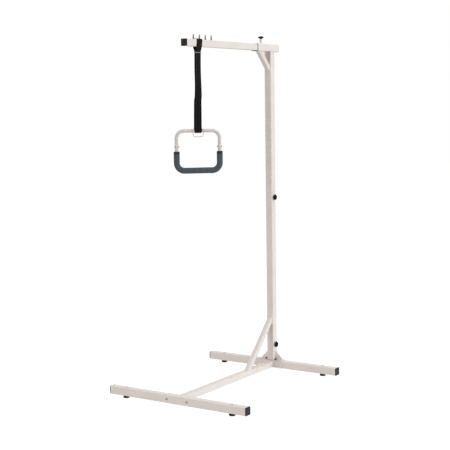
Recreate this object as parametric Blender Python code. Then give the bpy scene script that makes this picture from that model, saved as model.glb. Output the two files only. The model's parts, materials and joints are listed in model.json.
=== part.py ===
"""Freestanding trapeze: an H-shaped base of square steel tube, a two-part post, an arm
that slides in a sleeve at the top, and a hand grip that hangs from a webbing strap.

Metres, +Z up. The floor is Z = 0 and the arm points along -Y. The origin lies on the
floor, under the middle of the object's outline.
"""

import math

import bmesh
import bpy
from mathutils import Matrix, Vector

# Clearance between pieces that rest on each other or seat in each other
TOUCH = 0.0003

# Square tubes of the base and the post
TUBE = 0.040
TUBE_WALL = 0.002
TUBE_CORNER = 0.0035
SMALLEST_CORNER = 0.0005

# Base
CROSS_LENGTH = 0.804
CROSS_SPACING = 0.894
CENTRE_HEIGHT = 0.030
CENTRE_DROP = 0.002
CAP_FLANGE = 0.005
CAP_PLUG = 0.020
CAP_WALL = 0.003
CAP_ROUNDING = 0.0015
FOOT_HEIGHT = 0.012
FOOT_DIAMETER = 0.032
FOOT_TAPER = 0.0015
FOOT_RIM_TOP = 0.0042
FOOT_BORE_DEPTH = 0.007
FOOT_INSET = 0.090
FLANGE_LENGTH = 0.158
FLANGE_HEIGHT = 0.038
FLANGE_THICKNESS = 0.004
FLANGE_BOLT_SPACING = 0.120
FLANGE_X = {"front": 0.008, "rear": 0.0}
FOOT_PLATE_LENGTH = 0.140
FOOT_PLATE_THICKNESS = 0.003
FOOT_PLATE_BOLT_X = 0.0295
FOOT_PLATE_BOLT_Y = 0.0125
GUSSET_REACH = 0.047
GUSSET_HEIGHT = 0.046
GUSSET_THICKNESS = 0.004
GUSSET_TOE = 0.004
GUSSET_RELIEF = 0.006
BASE_SPIGOT_LENGTH = 0.150

# Post and its braces
LOWER_POST_LENGTH = 0.925
UPPER_POST_LENGTH = 0.754
SPIGOT_IN_UPPER_POST = 0.100
SPIGOT_IN_LOWER_POST = 0.220
SPIGOT_WALL = 0.002
BRACE = 0.025
BRACE_WALL = 0.002
BRACE_CORNER = 0.0025
BASE_BRACE_REACH = 0.250
HEAD_BRACE_REACH = 0.102
LOWER_KNOB_HEIGHT = 0.083
MID_KNOB_DROP = 0.028

# Arm and its sleeve
ARM = 0.035
ARM_WALL = 0.002
ARM_CORNER = 0.0030
ARM_REACH = 0.786
ARM_CAP_FLANGE = 0.003
SLEEVE_WALL = 0.0027
SLEEVE_FRONT = 0.145
SLEEVE_BACK = 0.068
ARM_KNOB_INSET = 0.060
BOSS_DIAMETER = 0.014
BOSS_HEIGHT = 0.024
BOSS_CHAMFER = 0.001
PEG_COUNT = 4
PEG_INSET = 0.077
PEG_SPACING = 0.0512
PEG_HEIGHT = 0.025
PEG_DIAMETER = 0.008
PEG_TIP_DIAMETER = 0.0055
PEG_BASE_HEIGHT = 0.006
PEG_TENON_DIAMETER = 0.005

# Star knobs and the studs that they turn
KNOB_DIAMETER = 0.032
KNOB_HEIGHT = 0.0135
KNOB_LOBES = 5
KNOB_LOBE_DEPTH = 0.0026
KNOB_HUB_DIAMETER = 0.016
KNOB_COLLAR_HEIGHT = 0.0045
KNOB_LOBE_TOP = 0.0115
KNOB_EDGE = 0.0018
KNOB_CROWN_DIAMETER = 0.013
STUD_DIAMETER = 0.0078
STUD_SEAT = 0.006
STUD_TIP = 0.0008
INSERT_FLANGE_DIAMETER = 0.014
INSERT_FLANGE_THICKNESS = 0.0012
INSERT_BODY_DIAMETER = 0.0108

# Bolts
BOLT_DIAMETER = 0.006
BOLT_HEAD_DIAMETER = 0.0125
BOLT_HEAD_HEIGHT = 0.0038
HEAD_RIM_HEIGHT = 0.0009
NUT_WIDTH = 0.010
NUT_HEIGHT = 0.005
THREAD_END = 0.002
THREAD_CHAMFER = 0.0005
SOCKET_HEAD_DIAMETER = 0.010
SOCKET_HEAD_HEIGHT = 0.006
SOCKET_WIDTH = 0.005
SOCKET_DEPTH = 0.0035
SOCKET_SHANK_LENGTH = 0.010
SOCKET_CHAMFER = 0.0006

# Strap: its width direction is given as a turn about Z from +X. The band turns below
# its first part, and its join lies behind the loop's middle by the shift.
WEBBING_WIDTH = 0.038
WEBBING = 0.0016
STRAP_JOIN_DROP = 0.030
STRAP_JOIN_SHIFT = 0.008
STRAP_LENGTH = 0.377
TURN_OVER_ARM = math.radians(90)
TURN_AT_JOIN = math.radians(72.5)
TURN_START = 0.30
LOOP_TURN_END = 0.80
CLASP_HEIGHT = 0.0045
CLASP_WALL = 0.0012
CLASP_CORNER = 0.002
WRAP_OPENING = math.radians(38)

# Handle
HANDLE_TURN = math.radians(42)
HANDLE_WIDTH = 0.213
HANDLE_HEIGHT = 0.195
HANDLE_CORNER = 0.038
HANDLE_TUBE = 0.0176
HANDLE_WALL = 0.0013
GRIP_DIAMETER = 0.030
GRIP_DROP = 0.101
LOWER_BOW_ENGAGED = 0.030
SCREW_DROP = 0.078
SCREW_DIAMETER = 0.004
SCREW_HEAD_DIAMETER = 0.0075
SCREW_HEAD_HEIGHT = 0.003
SCREW_NUT_WIDTH = 0.007
SCREW_NUT_HEIGHT = 0.0032
KEEPER_WIRE = 0.0045
KEEPER_WIDTH = 0.050
KEEPER_DROP = 0.029
KEEPER_CORNER = 0.008

# Faces round the turned and swept pieces, and angles that shape them
ROUND_SIDES = 18
TUBE_SIDES = 14
BORE_SIDES = 12
BOLT_SIDES = 12
WIRE_SIDES = 8
LOBE_SIDES = 6
CORNER_STEPS = 3
EDGE_STEPS = 2
BEND_STEPS = 5
BAND_STEPS = 22
END_STEPS = 3
DOME_SPAN = math.radians(80)
SHARP_ANGLE = math.radians(35)

# Heights that follow from the sizes above
BASE_BOTTOM = FOOT_HEIGHT + TOUCH
BASE_MIDDLE = BASE_BOTTOM + TUBE / 2
BASE_TOP = BASE_BOTTOM + TUBE
CENTRE_MIDDLE = BASE_MIDDLE - CENTRE_DROP
CENTRE_TOP = CENTRE_MIDDLE + CENTRE_HEIGHT / 2
PLATE_BOTTOM = BASE_TOP + TOUCH
PLATE_TOP = PLATE_BOTTOM + FOOT_PLATE_THICKNESS
POST_FOOT = PLATE_TOP + TOUCH
POST_JOINT = POST_FOOT + LOWER_POST_LENGTH
UPPER_POST_FOOT = POST_JOINT + TOUCH
UPPER_POST_TOP = UPPER_POST_FOOT + UPPER_POST_LENGTH
SLEEVE_BOTTOM = UPPER_POST_TOP + TOUCH
ARM_BOTTOM = SLEEVE_BOTTOM + SLEEVE_WALL + TOUCH
ARM_MIDDLE = ARM_BOTTOM + ARM / 2
ARM_TOP = ARM_BOTTOM + ARM
SLEEVE = ARM + 2 * TOUCH + 2 * SLEEVE_WALL
SLEEVE_TOP = SLEEVE_BOTTOM + SLEEVE
STRAP_JOIN = ARM_BOTTOM - STRAP_JOIN_DROP
HANDLE_AXIS = STRAP_JOIN - STRAP_LENGTH

# Places along Y: the outline runs from the front bolt heads to the arm's rear cap
FRONT_OVERHANG = TUBE / 2 + TOUCH + BOLT_HEAD_HEIGHT
REAR_OVERHANG = SLEEVE_BACK + ARM_CAP_FLANGE + TOUCH
POST_Y = (CROSS_SPACING + FRONT_OVERHANG - REAR_OVERHANG) / 2
FRONT_Y = POST_Y - CROSS_SPACING
POST_FRONT = POST_Y - TUBE / 2
ARM_FRONT = POST_Y - ARM_REACH
ARM_BACK = POST_Y + SLEEVE_BACK
SLEEVE_FRONT_Y = POST_Y - SLEEVE_FRONT
SLEEVE_BACK_Y = POST_Y + SLEEVE_BACK
ARM_KNOB_Y = SLEEVE_FRONT_Y + ARM_KNOB_INSET
PEG_Y = [ARM_FRONT + PEG_INSET + PEG_SPACING * i for i in range(PEG_COUNT)]
STRAP_Y = (PEG_Y[0] + PEG_Y[1]) / 2
JOIN_Y = STRAP_Y + STRAP_JOIN_SHIFT
FOOT_X = CROSS_LENGTH / 2 + CAP_FLANGE - FOOT_INSET
LOWER_KNOB_Z = POST_FOOT + LOWER_KNOB_HEIGHT
MID_KNOB_Z = POST_JOINT - MID_KNOB_DROP

X_AXIS = Vector((1, 0, 0))
Y_AXIS = Vector((0, 1, 0))
Z_AXIS = Vector((0, 0, 1))


def clear_scene():
    """Removes every object of the scene that the script starts in."""
    for item in list(bpy.data.objects):
        bpy.data.objects.remove(item, do_unlink=True)


def finish(name, color, roughness, metallic=0.0):
    """Makes a plain Principled material."""
    material = bpy.data.materials.new(name)
    material.use_nodes = True
    shader = material.node_tree.nodes["Principled BSDF"]
    shader.inputs["Base Color"].default_value = (*color, 1.0)
    shader.inputs["Roughness"].default_value = roughness
    shader.inputs["Metallic"].default_value = metallic
    return material


def empty(name, matrix, parent=None):
    """Makes an empty at a world matrix, under another empty if one is given."""
    pivot = bpy.data.objects.new(name, None)
    bpy.context.collection.objects.link(pivot)
    pivot.parent = parent
    pivot.matrix_basis = parent.matrix_world.inverted() @ matrix if parent else matrix
    bpy.context.view_layer.update()
    return pivot


def piece(name, mesh_data, material, pivot=None, local=False):
    """Makes an object from a bmesh. Its points are in world space, or in the pivot's
    frame if local is set, and its origin is the pivot's."""
    bmesh.ops.recalc_face_normals(mesh_data, faces=mesh_data.faces)
    if pivot and not local:
        mesh_data.transform(pivot.matrix_world.inverted())
    mesh = bpy.data.meshes.new(name)
    mesh_data.to_mesh(mesh)
    mesh_data.free()
    mesh.shade_smooth()
    mesh.set_sharp_from_angle(angle=SHARP_ANGLE)
    mesh.materials.append(material)
    item = bpy.data.objects.new(name, mesh)
    bpy.context.collection.objects.link(item)
    if pivot:
        item.parent = pivot
    return item


def cut(target, mesh_data, local=False):
    """Cuts a closed bmesh out of an object with a Boolean modifier."""
    if target.parent and not local:
        mesh_data.transform(target.parent.matrix_world.inverted())
    bmesh.ops.recalc_face_normals(mesh_data, faces=mesh_data.faces)
    mesh = bpy.data.meshes.new("cutter_" + target.name)
    mesh_data.to_mesh(mesh)
    mesh_data.free()
    cutter = bpy.data.objects.new("cutter_" + target.name, mesh)
    bpy.context.collection.objects.link(cutter)
    cutter.parent = target.parent
    cutter.hide_render = True
    cutter.display_type = "WIRE"
    hole = target.modifiers.new("holes", "BOOLEAN")
    hole.object = cutter
    hole.operation = "DIFFERENCE"
    hole.solver = "EXACT"


def add_skin(mesh_data, rings, hollow=False):
    """Bridges rings of points. The ends are filled, or, if hollow is set, the last
    ring joins the first, so that outer and inner rings make a tube."""
    loops = [[mesh_data.verts.new(point) for point in ring] for ring in rings]
    count = len(loops[0])
    pairs = list(zip(loops, loops[1:]))
    if hollow:
        pairs.append((loops[-1], loops[0]))
    for lower, upper in pairs:
        for i in range(count):
            j = (i + 1) % count
            mesh_data.faces.new((lower[i], lower[j], upper[j], upper[i]))
    if not hollow:
        mesh_data.faces.new(loops[0])
        mesh_data.faces.new(loops[-1])


def skin(rings, hollow=False):
    """Returns one closed body made from rings."""
    mesh_data = bmesh.new()
    add_skin(mesh_data, rings, hollow)
    return mesh_data


def rounded_square(side, radius, steps=CORNER_STEPS):
    """Returns the outline of a square with rounded corners, as pairs."""
    reach = side / 2 - radius
    outline = []
    for quarter in range(4):
        turn = quarter * math.pi / 2
        corner = Vector((reach, reach))
        corner.rotate(Matrix.Rotation(turn, 2))
        for step in range(steps + 1):
            angle = turn + step / steps * math.pi / 2
            outline.append((corner.x + radius * math.cos(angle), corner.y + radius * math.sin(angle)))
    return outline


def rounded_plate(width, height, radius, steps=CORNER_STEPS):
    """Returns the outline of a rectangle with rounded corners, as pairs."""
    square = rounded_square(2 * radius, radius, steps)
    shift_x = width / 2 - radius
    shift_y = height / 2 - radius
    return [(x + math.copysign(shift_x, signs[0]), y + math.copysign(shift_y, signs[1]))
            for (x, y), signs in zip(square, corner_signs(steps))]


def corner_signs(steps):
    """Returns, for each point of a rounded outline, the signs of its corner."""
    corners = ((1, 1), (-1, 1), (-1, -1), (1, -1))
    return [signs for signs in corners for _ in range(steps + 1)]


def ring_on_plane(outline, origin, direction, side_axis, up_axis, plane_point, plane_normal):
    """Moves an outline along a direction until it lies on a plane."""
    points = []
    for across, along in outline:
        start = origin + side_axis * across + up_axis * along
        distance = (plane_point - start).dot(plane_normal) / direction.dot(plane_normal)
        points.append(start + direction * distance)
    return points


def square_tube(side, wall, corner, start, end, start_normal=None, end_normal=None, side_axis=X_AXIS,
                height=None):
    """Returns a square tube from start to end, with its ends cut along two planes. A
    tube that isn't square has a height too."""
    start = Vector(start)
    end = Vector(end)
    direction = (end - start).normalized()
    up_axis = direction.cross(side_axis)
    start_normal = start_normal or direction
    end_normal = end_normal or direction
    height = height or side
    outer = rounded_plate(side, height, corner)
    inner = rounded_plate(side - 2 * wall, height - 2 * wall, max(corner - wall, SMALLEST_CORNER))
    rings = []
    for outline, point, normal in ((outer, start, start_normal), (outer, end, end_normal),
                                   (inner, end, end_normal), (inner, start, start_normal)):
        rings.append(ring_on_plane(outline, start, direction, side_axis, up_axis, point, normal))
    return skin(rings, hollow=True)


def circle(radius, sides, phase=0.0):
    """Returns a circle as pairs."""
    return [(radius * math.cos(phase + 2 * math.pi * i / sides),
             radius * math.sin(phase + 2 * math.pi * i / sides)) for i in range(sides)]


def stack(profile, origin, axis, side_axis, outline_of):
    """Returns rings along an axis. Each row of the profile is a size and a height."""
    other_axis = axis.cross(side_axis)
    origin = Vector(origin)
    return [[origin + axis * height + side_axis * a + other_axis * b for a, b in outline_of(size)]
            for size, height in profile]


def turned(profile, origin, axis=Z_AXIS, side_axis=X_AXIS, sides=ROUND_SIDES):
    """Returns rings for a turned shape: rows of radius and height along an axis."""
    return stack(profile, origin, axis, side_axis, lambda radius: circle(radius, sides))


def dome(radius, foot, top):
    """Returns rows of radius and height for a dome that rises from its foot."""
    rows = []
    for step in range(EDGE_STEPS + 1):
        angle = DOME_SPAN * step / EDGE_STEPS
        rows.append((radius * math.cos(angle), foot + (top - foot) * math.sin(angle) / math.sin(DOME_SPAN)))
    return rows


def bolt_section(size):
    """Returns a circle by its radius, or a hexagon by its width across the flats when
    the size is marked with the word, both with the same number of points."""
    kind, value = size
    if kind == "round":
        return circle(value, BOLT_SIDES)
    corners = circle(value / math.sqrt(3), 6)
    parts = BOLT_SIDES // 6
    points = []
    for i in range(6):
        start = Vector(corners[i])
        end = Vector(corners[(i + 1) % 6])
        points.extend(start.lerp(end, part / parts) for part in range(parts))
    return [(point.x, point.y) for point in points]


def dome_bolt(origin, axis, side_axis, length, sizes, nut=None):
    """Returns a bolt whose domed head stands on the origin, out along the axis. The
    sizes are its shank, its head's diameter and its head's height. A nut is given by
    its width, its height and the grip between it and the head."""
    diameter, head, height = sizes
    shank = ("round", diameter / 2)
    rows = [(("round", diameter / 2 - THREAD_CHAMFER), -length), (shank, THREAD_CHAMFER - length)]
    if nut:
        width, nut_height, grip = nut
        rows += [(shank, -grip - nut_height), (("hexagon", width), -grip - nut_height),
                 (("hexagon", width), -grip), (shank, -grip)]
    rows += [(shank, 0.0), (("round", head / 2), 0.0)]
    rows += [(("round", radius), level) for radius, level in dome(head / 2, HEAD_RIM_HEIGHT, height)]
    return skin(stack(rows, origin, axis, side_axis, bolt_section))


def cylinder(start, end, radius, sides=BORE_SIDES):
    """Returns a closed cylinder between two points, for cutting holes."""
    start = Vector(start)
    end = Vector(end)
    axis = (end - start).normalized()
    side_axis = axis.orthogonal().normalized()
    length = (end - start).length
    return turned([(radius, 0.0), (radius, length)], start, axis, side_axis, sides)


def holes(pairs, radius, sides=BORE_SIDES):
    """Returns one bmesh with a cylinder for each pair of points."""
    mesh_data = bmesh.new()
    for start, end in pairs:
        add_skin(mesh_data, cylinder(start, end, radius, sides))
    return mesh_data


def bend_path(width, top, bottom, corner, upper):
    """Returns points and directions of a U in the XZ plane: two legs and a bar. The bar
    is at the top if upper is set, and at the bottom if not. The legs end at the other."""
    half = width / 2
    bar = top if upper else bottom
    sign = 1 if upper else -1
    ends = bottom if upper else top
    centre_z = bar - sign * corner
    path = [(Vector((-half, 0, ends)), Vector((0, 0, sign)))]
    for side in (-1, 1):
        centre = Vector((side * (half - corner), 0, centre_z))
        for step in range(BEND_STEPS + 1):
            part = step / BEND_STEPS * math.pi / 2
            angle = part if side < 0 else math.pi / 2 - part
            away = Vector((side * math.cos(angle), 0, sign * math.sin(angle)))
            along = Vector((math.sin(angle), 0, -side * sign * math.cos(angle)))
            path.append((centre + away * corner, along))
    path.append((Vector((half, 0, ends)), Vector((0, 0, -sign))))
    return path


def swept_rings(path, radius, sides):
    """Returns circles along a path that lies in the XZ plane."""
    rings = []
    for point, along in path:
        away = along.cross(Y_AXIS)
        rings.append([point + away * a + Y_AXIS * b for a, b in circle(radius, sides)])
    return rings


def swept_tube(path, outer, inner, sides):
    """Returns a hollow tube along a path in the XZ plane."""
    return skin(swept_rings(path, outer, sides) + swept_rings(path, inner, sides)[::-1], hollow=True)


def width_direction(turn):
    """Returns the strap's width direction for a turn about Z."""
    return Vector((math.cos(turn), math.sin(turn), 0))


def eased(part):
    """Returns a smooth step from 0 to 1 for a part of the way, kept within 0 and 1."""
    part = min(1.0, max(0.0, part))
    return part * part * (3 - 2 * part)


def band_ring(centre, across, through, width, thickness):
    """Returns the rectangle of a band's section, square to its run."""
    half_width = across * width / 2
    half_thickness = through * thickness / 2
    return [centre + half_width + half_thickness, centre - half_width + half_thickness,
            centre - half_width - half_thickness, centre + half_width - half_thickness]


def make_base(paint, cap_plastic, rubber, zinc, black_steel):
    """The H-shaped base with its caps, feet, flanges and bolts."""
    for place, y in (("front", FRONT_Y), ("rear", POST_Y)):
        make_cross_tube(place, y, paint)
        for side, sign in (("left", -1), ("right", 1)):
            make_end_cap(f"{place}_{side}_end_cap", sign, y, cap_plastic)
            make_foot(f"{place}_{side}_foot", sign * FOOT_X, y, rubber)
    make_foot_bolts(zinc)
    make_centre_tube(paint)
    make_flange_bolts(zinc)
    make_post_foot(paint, black_steel)


def make_cross_tube(place, y, paint):
    """A cross tube with holes for the foot bolts and the flange bolts."""
    half = CROSS_LENGTH / 2
    tube = piece(f"{place}_cross_tube", square_tube(
        TUBE, TUBE_WALL, TUBE_CORNER, (-half, y, BASE_MIDDLE), (half, y, BASE_MIDDLE),
        side_axis=Y_AXIS), paint)
    pairs = []
    for sign in (-1, 1):
        pairs.append(((sign * FOOT_X, y, BASE_BOTTOM - TUBE_WALL), (sign * FOOT_X, y, BASE_TOP + TUBE_WALL)))
    for x in flange_bolt_x(place):
        pairs.append(((x, y - TUBE, BASE_MIDDLE), (x, y + TUBE, BASE_MIDDLE)))
    if y == POST_Y:
        for x, bolt_y in foot_plate_bolt_places():
            pairs.append(((x, bolt_y, BASE_TOP - 2 * TUBE_WALL), (x, bolt_y, BASE_TOP + TUBE_WALL)))
    cut(tube, holes(pairs, BOLT_DIAMETER / 2 + TOUCH))


def make_end_cap(name, sign, y, cap_plastic):
    """A push-in cap: a rounded flange on the tube's end and a hollow plug inside it."""
    inside = TUBE - 2 * TUBE_WALL - 2 * TOUCH
    edge = CROSS_LENGTH / 2
    axis = X_AXIS * sign
    flange = cap_flange(TUBE, TUBE_CORNER, edge + TOUCH, edge + CAP_FLANGE)
    piece(name, skin(plug_rings((0, y, BASE_MIDDLE), axis, Y_AXIS, inside, CAP_WALL, CAP_PLUG, flange)),
          cap_plastic)


def cap_flange(side, corner, seat, top):
    """Returns the rows of a cap's flange, which has a rounded edge."""
    rows = [(side, corner, seat)]
    for step in range(EDGE_STEPS + 1):
        angle = step / EDGE_STEPS * math.pi / 2
        inset = CAP_ROUNDING * (1 - math.cos(angle))
        rows.append((side - 2 * inset, corner, top - CAP_ROUNDING * (1 - math.sin(angle))))
    return rows


def plug_rings(origin, axis, side_axis, inside, wall, depth, flange):
    """Returns the rings of a cap: cup floor, cup mouth, plug and flange, in one run.
    A row of the flange is a side, a corner radius and a height along the axis."""
    other_axis = axis.cross(side_axis)
    origin = Vector(origin)
    seat = flange[0][2]
    plug_corner = TUBE_CORNER - TUBE_WALL
    rows = [(inside - 2 * wall, SMALLEST_CORNER, seat), (inside - 2 * wall, SMALLEST_CORNER, seat - depth),
            (inside, plug_corner, seat - depth), (inside, plug_corner, seat), *flange]
    return [[origin + axis * height + side_axis * a + other_axis * b
             for a, b in rounded_square(side, corner)] for side, corner, height in rows]


def make_foot(name, x, y, rubber):
    """A rubber disc with a chamfered tread and a bore for its bolt."""
    radius = FOOT_DIAMETER / 2
    bore = BOLT_DIAMETER / 2 + TOUCH
    profile = [(bore, FOOT_HEIGHT - FOOT_BORE_DEPTH), (bore, FOOT_HEIGHT), (radius - FOOT_TAPER, FOOT_HEIGHT),
               (radius, FOOT_RIM_TOP), (radius, FOOT_TAPER), (radius - FOOT_TAPER, 0.0)]
    piece(name, skin(turned(profile, (x, y, 0))), rubber)


def make_foot_bolts(zinc):
    """Four bolts from the top of the cross tubes down into the feet."""
    sizes = (BOLT_DIAMETER, BOLT_HEAD_DIAMETER, BOLT_HEAD_HEIGHT)
    length = TUBE + FOOT_BORE_DEPTH
    for place, y in (("front", FRONT_Y), ("rear", POST_Y)):
        for side, sign in (("left", -1), ("right", 1)):
            origin = (sign * FOOT_X, y, BASE_TOP + TOUCH)
            piece(f"{place}_{side}_foot_bolt", dome_bolt(origin, Z_AXIS, X_AXIS, length, sizes), zinc)


def make_centre_tube(paint):
    """The tube along the middle, with a bolted flange at each end and the brace on it."""
    front = FRONT_Y + TUBE / 2
    back = POST_Y - TUBE / 2
    plate = FLANGE_THICKNESS + TOUCH
    piece("centre_tube", square_tube(
        TUBE, TUBE_WALL, TUBE_CORNER, (0, front + plate + TOUCH, CENTRE_MIDDLE),
        (0, back - plate - TOUCH, CENTRE_MIDDLE), height=CENTRE_HEIGHT), paint)
    outline = rounded_plate(FLANGE_LENGTH, FLANGE_HEIGHT, TUBE_CORNER)
    for place, start in (("front", front + TOUCH), ("rear", back - TOUCH - FLANGE_THICKNESS)):
        rings = [[Vector((FLANGE_X[place] + a, level, BASE_MIDDLE + b)) for a, b in outline]
                 for level in (start, start + FLANGE_THICKNESS)]
        flange = piece(place + "_flange", skin(rings), paint)
        pairs = [((x, start - TUBE_WALL, BASE_MIDDLE), (x, start + FLANGE_THICKNESS + TUBE_WALL, BASE_MIDDLE))
                 for x in flange_bolt_x(place)]
        cut(flange, holes(pairs, BOLT_DIAMETER / 2 + TOUCH))
    piece("base_brace", square_tube(
        BRACE, BRACE_WALL, BRACE_CORNER, *brace_ends(BASE_BRACE_REACH, CENTRE_TOP + TOUCH, 1),
        start_normal=Z_AXIS, end_normal=Y_AXIS), paint)


def flange_bolt_x(place):
    """Returns the X of the two bolts of the front or rear flange."""
    return (FLANGE_X[place] - FLANGE_BOLT_SPACING / 2, FLANGE_X[place] + FLANGE_BOLT_SPACING / 2)


def brace_ends(reach, level, rise):
    """Returns the ends of the middle line of a brace at 45 degrees, between the level
    surface and the post's front face. The reach is that of its outer edge."""
    middle = reach - BRACE / 2 * math.sqrt(2)
    seat = POST_FRONT - TOUCH
    return (0, seat - middle, level), (0, seat, level + rise * middle)


def make_flange_bolts(zinc):
    """Two bolts with nuts through each cross tube and its flange, heads to the front."""
    sizes = (BOLT_DIAMETER, BOLT_HEAD_DIAMETER, BOLT_HEAD_HEIGHT)
    grip = TUBE + FLANGE_THICKNESS + 3 * TOUCH
    nut = (NUT_WIDTH, NUT_HEIGHT, grip)
    length = grip + NUT_HEIGHT + THREAD_END
    rear_seat = POST_Y - TUBE / 2 - FLANGE_THICKNESS - 2 * TOUCH
    for place, seat in (("front", FRONT_Y - TUBE / 2 - TOUCH), ("rear", rear_seat)):
        for side, x in zip(("left", "right"), flange_bolt_x(place)):
            bolt = dome_bolt((x, seat, BASE_MIDDLE), -Y_AXIS, X_AXIS, length, sizes, nut)
            piece(f"{place}_{side}_flange_bolt", bolt, zinc)


def foot_plate_bolt_places():
    """Returns the X and Y of the four bolts of the post's foot plate."""
    return [(sx * FOOT_PLATE_BOLT_X, POST_Y + sy * FOOT_PLATE_BOLT_Y) for sx in (-1, 1) for sy in (-1, 1)]


def make_post_foot(paint, black_steel):
    """The foot plate under the post, its bolts, the gussets and the spigot on it."""
    outline = rounded_plate(FOOT_PLATE_LENGTH, TUBE, TUBE_CORNER)
    rings = [[Vector((a, POST_Y + b, level)) for a, b in outline] for level in (PLATE_BOTTOM, PLATE_TOP)]
    plate = piece("post_foot_plate", skin(rings), paint)
    margin = FOOT_PLATE_THICKNESS
    pairs = [((x, y, PLATE_BOTTOM - margin), (x, y, PLATE_TOP + margin)) for x, y in foot_plate_bolt_places()]
    cut(plate, holes(pairs, BOLT_DIAMETER / 2 + TOUCH))
    for number, (x, y) in enumerate(foot_plate_bolt_places(), 1):
        bolt = skin(socket_bolt_rings((x, y, PLATE_TOP + TOUCH)))
        piece(f"foot_plate_bolt_{number}", bolt, black_steel)
    for name, sign in (("left_gusset", -1), ("right_gusset", 1)):
        make_gusset(name, sign, paint)
    inside = TUBE - 2 * TUBE_WALL - 2 * TOUCH
    piece("base_spigot", square_tube(
        inside, SPIGOT_WALL, TUBE_CORNER - TUBE_WALL, (0, POST_Y, POST_FOOT),
        (0, POST_Y, POST_FOOT + BASE_SPIGOT_LENGTH)), paint)


def socket_bolt_rings(origin):
    """Returns the rings of a socket-head bolt that stands on the origin."""
    shank = BOLT_DIAMETER / 2
    head = SOCKET_HEAD_DIAMETER / 2
    socket = SOCKET_WIDTH / 2
    top = SOCKET_HEAD_HEIGHT
    profile = [(shank, -SOCKET_SHANK_LENGTH), (shank, 0.0), (head, 0.0), (head, top - SOCKET_CHAMFER),
               (head - SOCKET_CHAMFER, top), (socket, top), (socket, top - SOCKET_DEPTH)]
    return turned(profile, origin, sides=BOLT_SIDES)


def make_gusset(name, sign, paint):
    """A triangular plate between the post's side and the foot plate."""
    inner = TUBE / 2 + TOUCH
    low = PLATE_TOP + TOUCH
    outer = inner + GUSSET_REACH
    high = low + GUSSET_HEIGHT
    outline = [(inner + GUSSET_RELIEF, low), (outer, low), (outer, low + GUSSET_TOE),
               (inner + GUSSET_TOE, high), (inner, high), (inner, low + GUSSET_RELIEF)]
    half = GUSSET_THICKNESS / 2
    rings = [[Vector((sign * x, POST_Y + shift, z)) for x, z in outline] for shift in (-half, half)]
    piece(name, skin(rings), paint)


def make_lower_post(paint, zinc):
    """The lower post, round the base spigot, with two threaded inserts in its side."""
    post = piece("lower_post", square_tube(
        TUBE, TUBE_WALL, TUBE_CORNER, (0, POST_Y, POST_FOOT), (0, POST_Y, POST_JOINT)), paint)
    pairs = [((TUBE / 2 - 2 * TUBE_WALL, POST_Y, z), (TUBE / 2 + TUBE_WALL, POST_Y, z))
             for z in (LOWER_KNOB_Z, MID_KNOB_Z)]
    cut(post, holes(pairs, INSERT_BODY_DIAMETER / 2 + TOUCH))
    for name, z in (("lower_thread_insert", LOWER_KNOB_Z), ("mid_thread_insert", MID_KNOB_Z)):
        bore = STUD_DIAMETER / 2 + TOUCH
        body = INSERT_BODY_DIAMETER / 2
        rim = INSERT_FLANGE_DIAMETER / 2
        seat = TUBE / 2 + TOUCH
        rings = turned([(body, TUBE / 2 - TUBE_WALL + TOUCH), (body, seat), (rim, seat),
                        (rim, seat + INSERT_FLANGE_THICKNESS), (bore, seat + INSERT_FLANGE_THICKNESS),
                        (bore, TUBE / 2 - TUBE_WALL + TOUCH)], (0, POST_Y, z), X_AXIS, Y_AXIS)
        piece(name, skin(rings, hollow=True), zinc)


def make_upper_post(paint, pivot):
    """The upper post with its spigot, the arm's sleeve, the brace and the clamp boss."""
    piece("upper_post", square_tube(
        TUBE, TUBE_WALL, TUBE_CORNER, (0, POST_Y, UPPER_POST_FOOT), (0, POST_Y, UPPER_POST_TOP)), paint, pivot)
    inside = TUBE - 2 * TUBE_WALL - 2 * TOUCH
    piece("post_spigot", square_tube(
        inside, SPIGOT_WALL, TUBE_CORNER - TUBE_WALL, (0, POST_Y, POST_JOINT - SPIGOT_IN_LOWER_POST),
        (0, POST_Y, UPPER_POST_FOOT + SPIGOT_IN_UPPER_POST)), paint, pivot)
    sleeve = piece("arm_sleeve", square_tube(
        SLEEVE, SLEEVE_WALL, ARM_CORNER + SLEEVE_WALL, (0, SLEEVE_FRONT_Y, ARM_MIDDLE),
        (0, SLEEVE_BACK_Y, ARM_MIDDLE)), paint, pivot)
    clamp = ((0, ARM_KNOB_Y, ARM_TOP - SLEEVE_WALL), (0, ARM_KNOB_Y, SLEEVE_TOP + SLEEVE_WALL))
    cut(sleeve, holes([clamp], STUD_DIAMETER / 2 + TOUCH))
    start, end = brace_ends(HEAD_BRACE_REACH, SLEEVE_BOTTOM - TOUCH, -1)
    piece("head_brace", square_tube(
        BRACE, BRACE_WALL, BRACE_CORNER, start, end, start_normal=Z_AXIS, end_normal=Y_AXIS), paint, pivot)
    bore = STUD_DIAMETER / 2 + TOUCH
    radius = BOSS_DIAMETER / 2
    boss = turned([(radius, 0.0), (radius, BOSS_HEIGHT - BOSS_CHAMFER), (radius - BOSS_CHAMFER, BOSS_HEIGHT),
                   (bore, BOSS_HEIGHT), (bore, 0.0)], (0, ARM_KNOB_Y, SLEEVE_TOP + TOUCH))
    piece("clamp_boss", skin(boss, hollow=True), paint, pivot)


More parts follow.
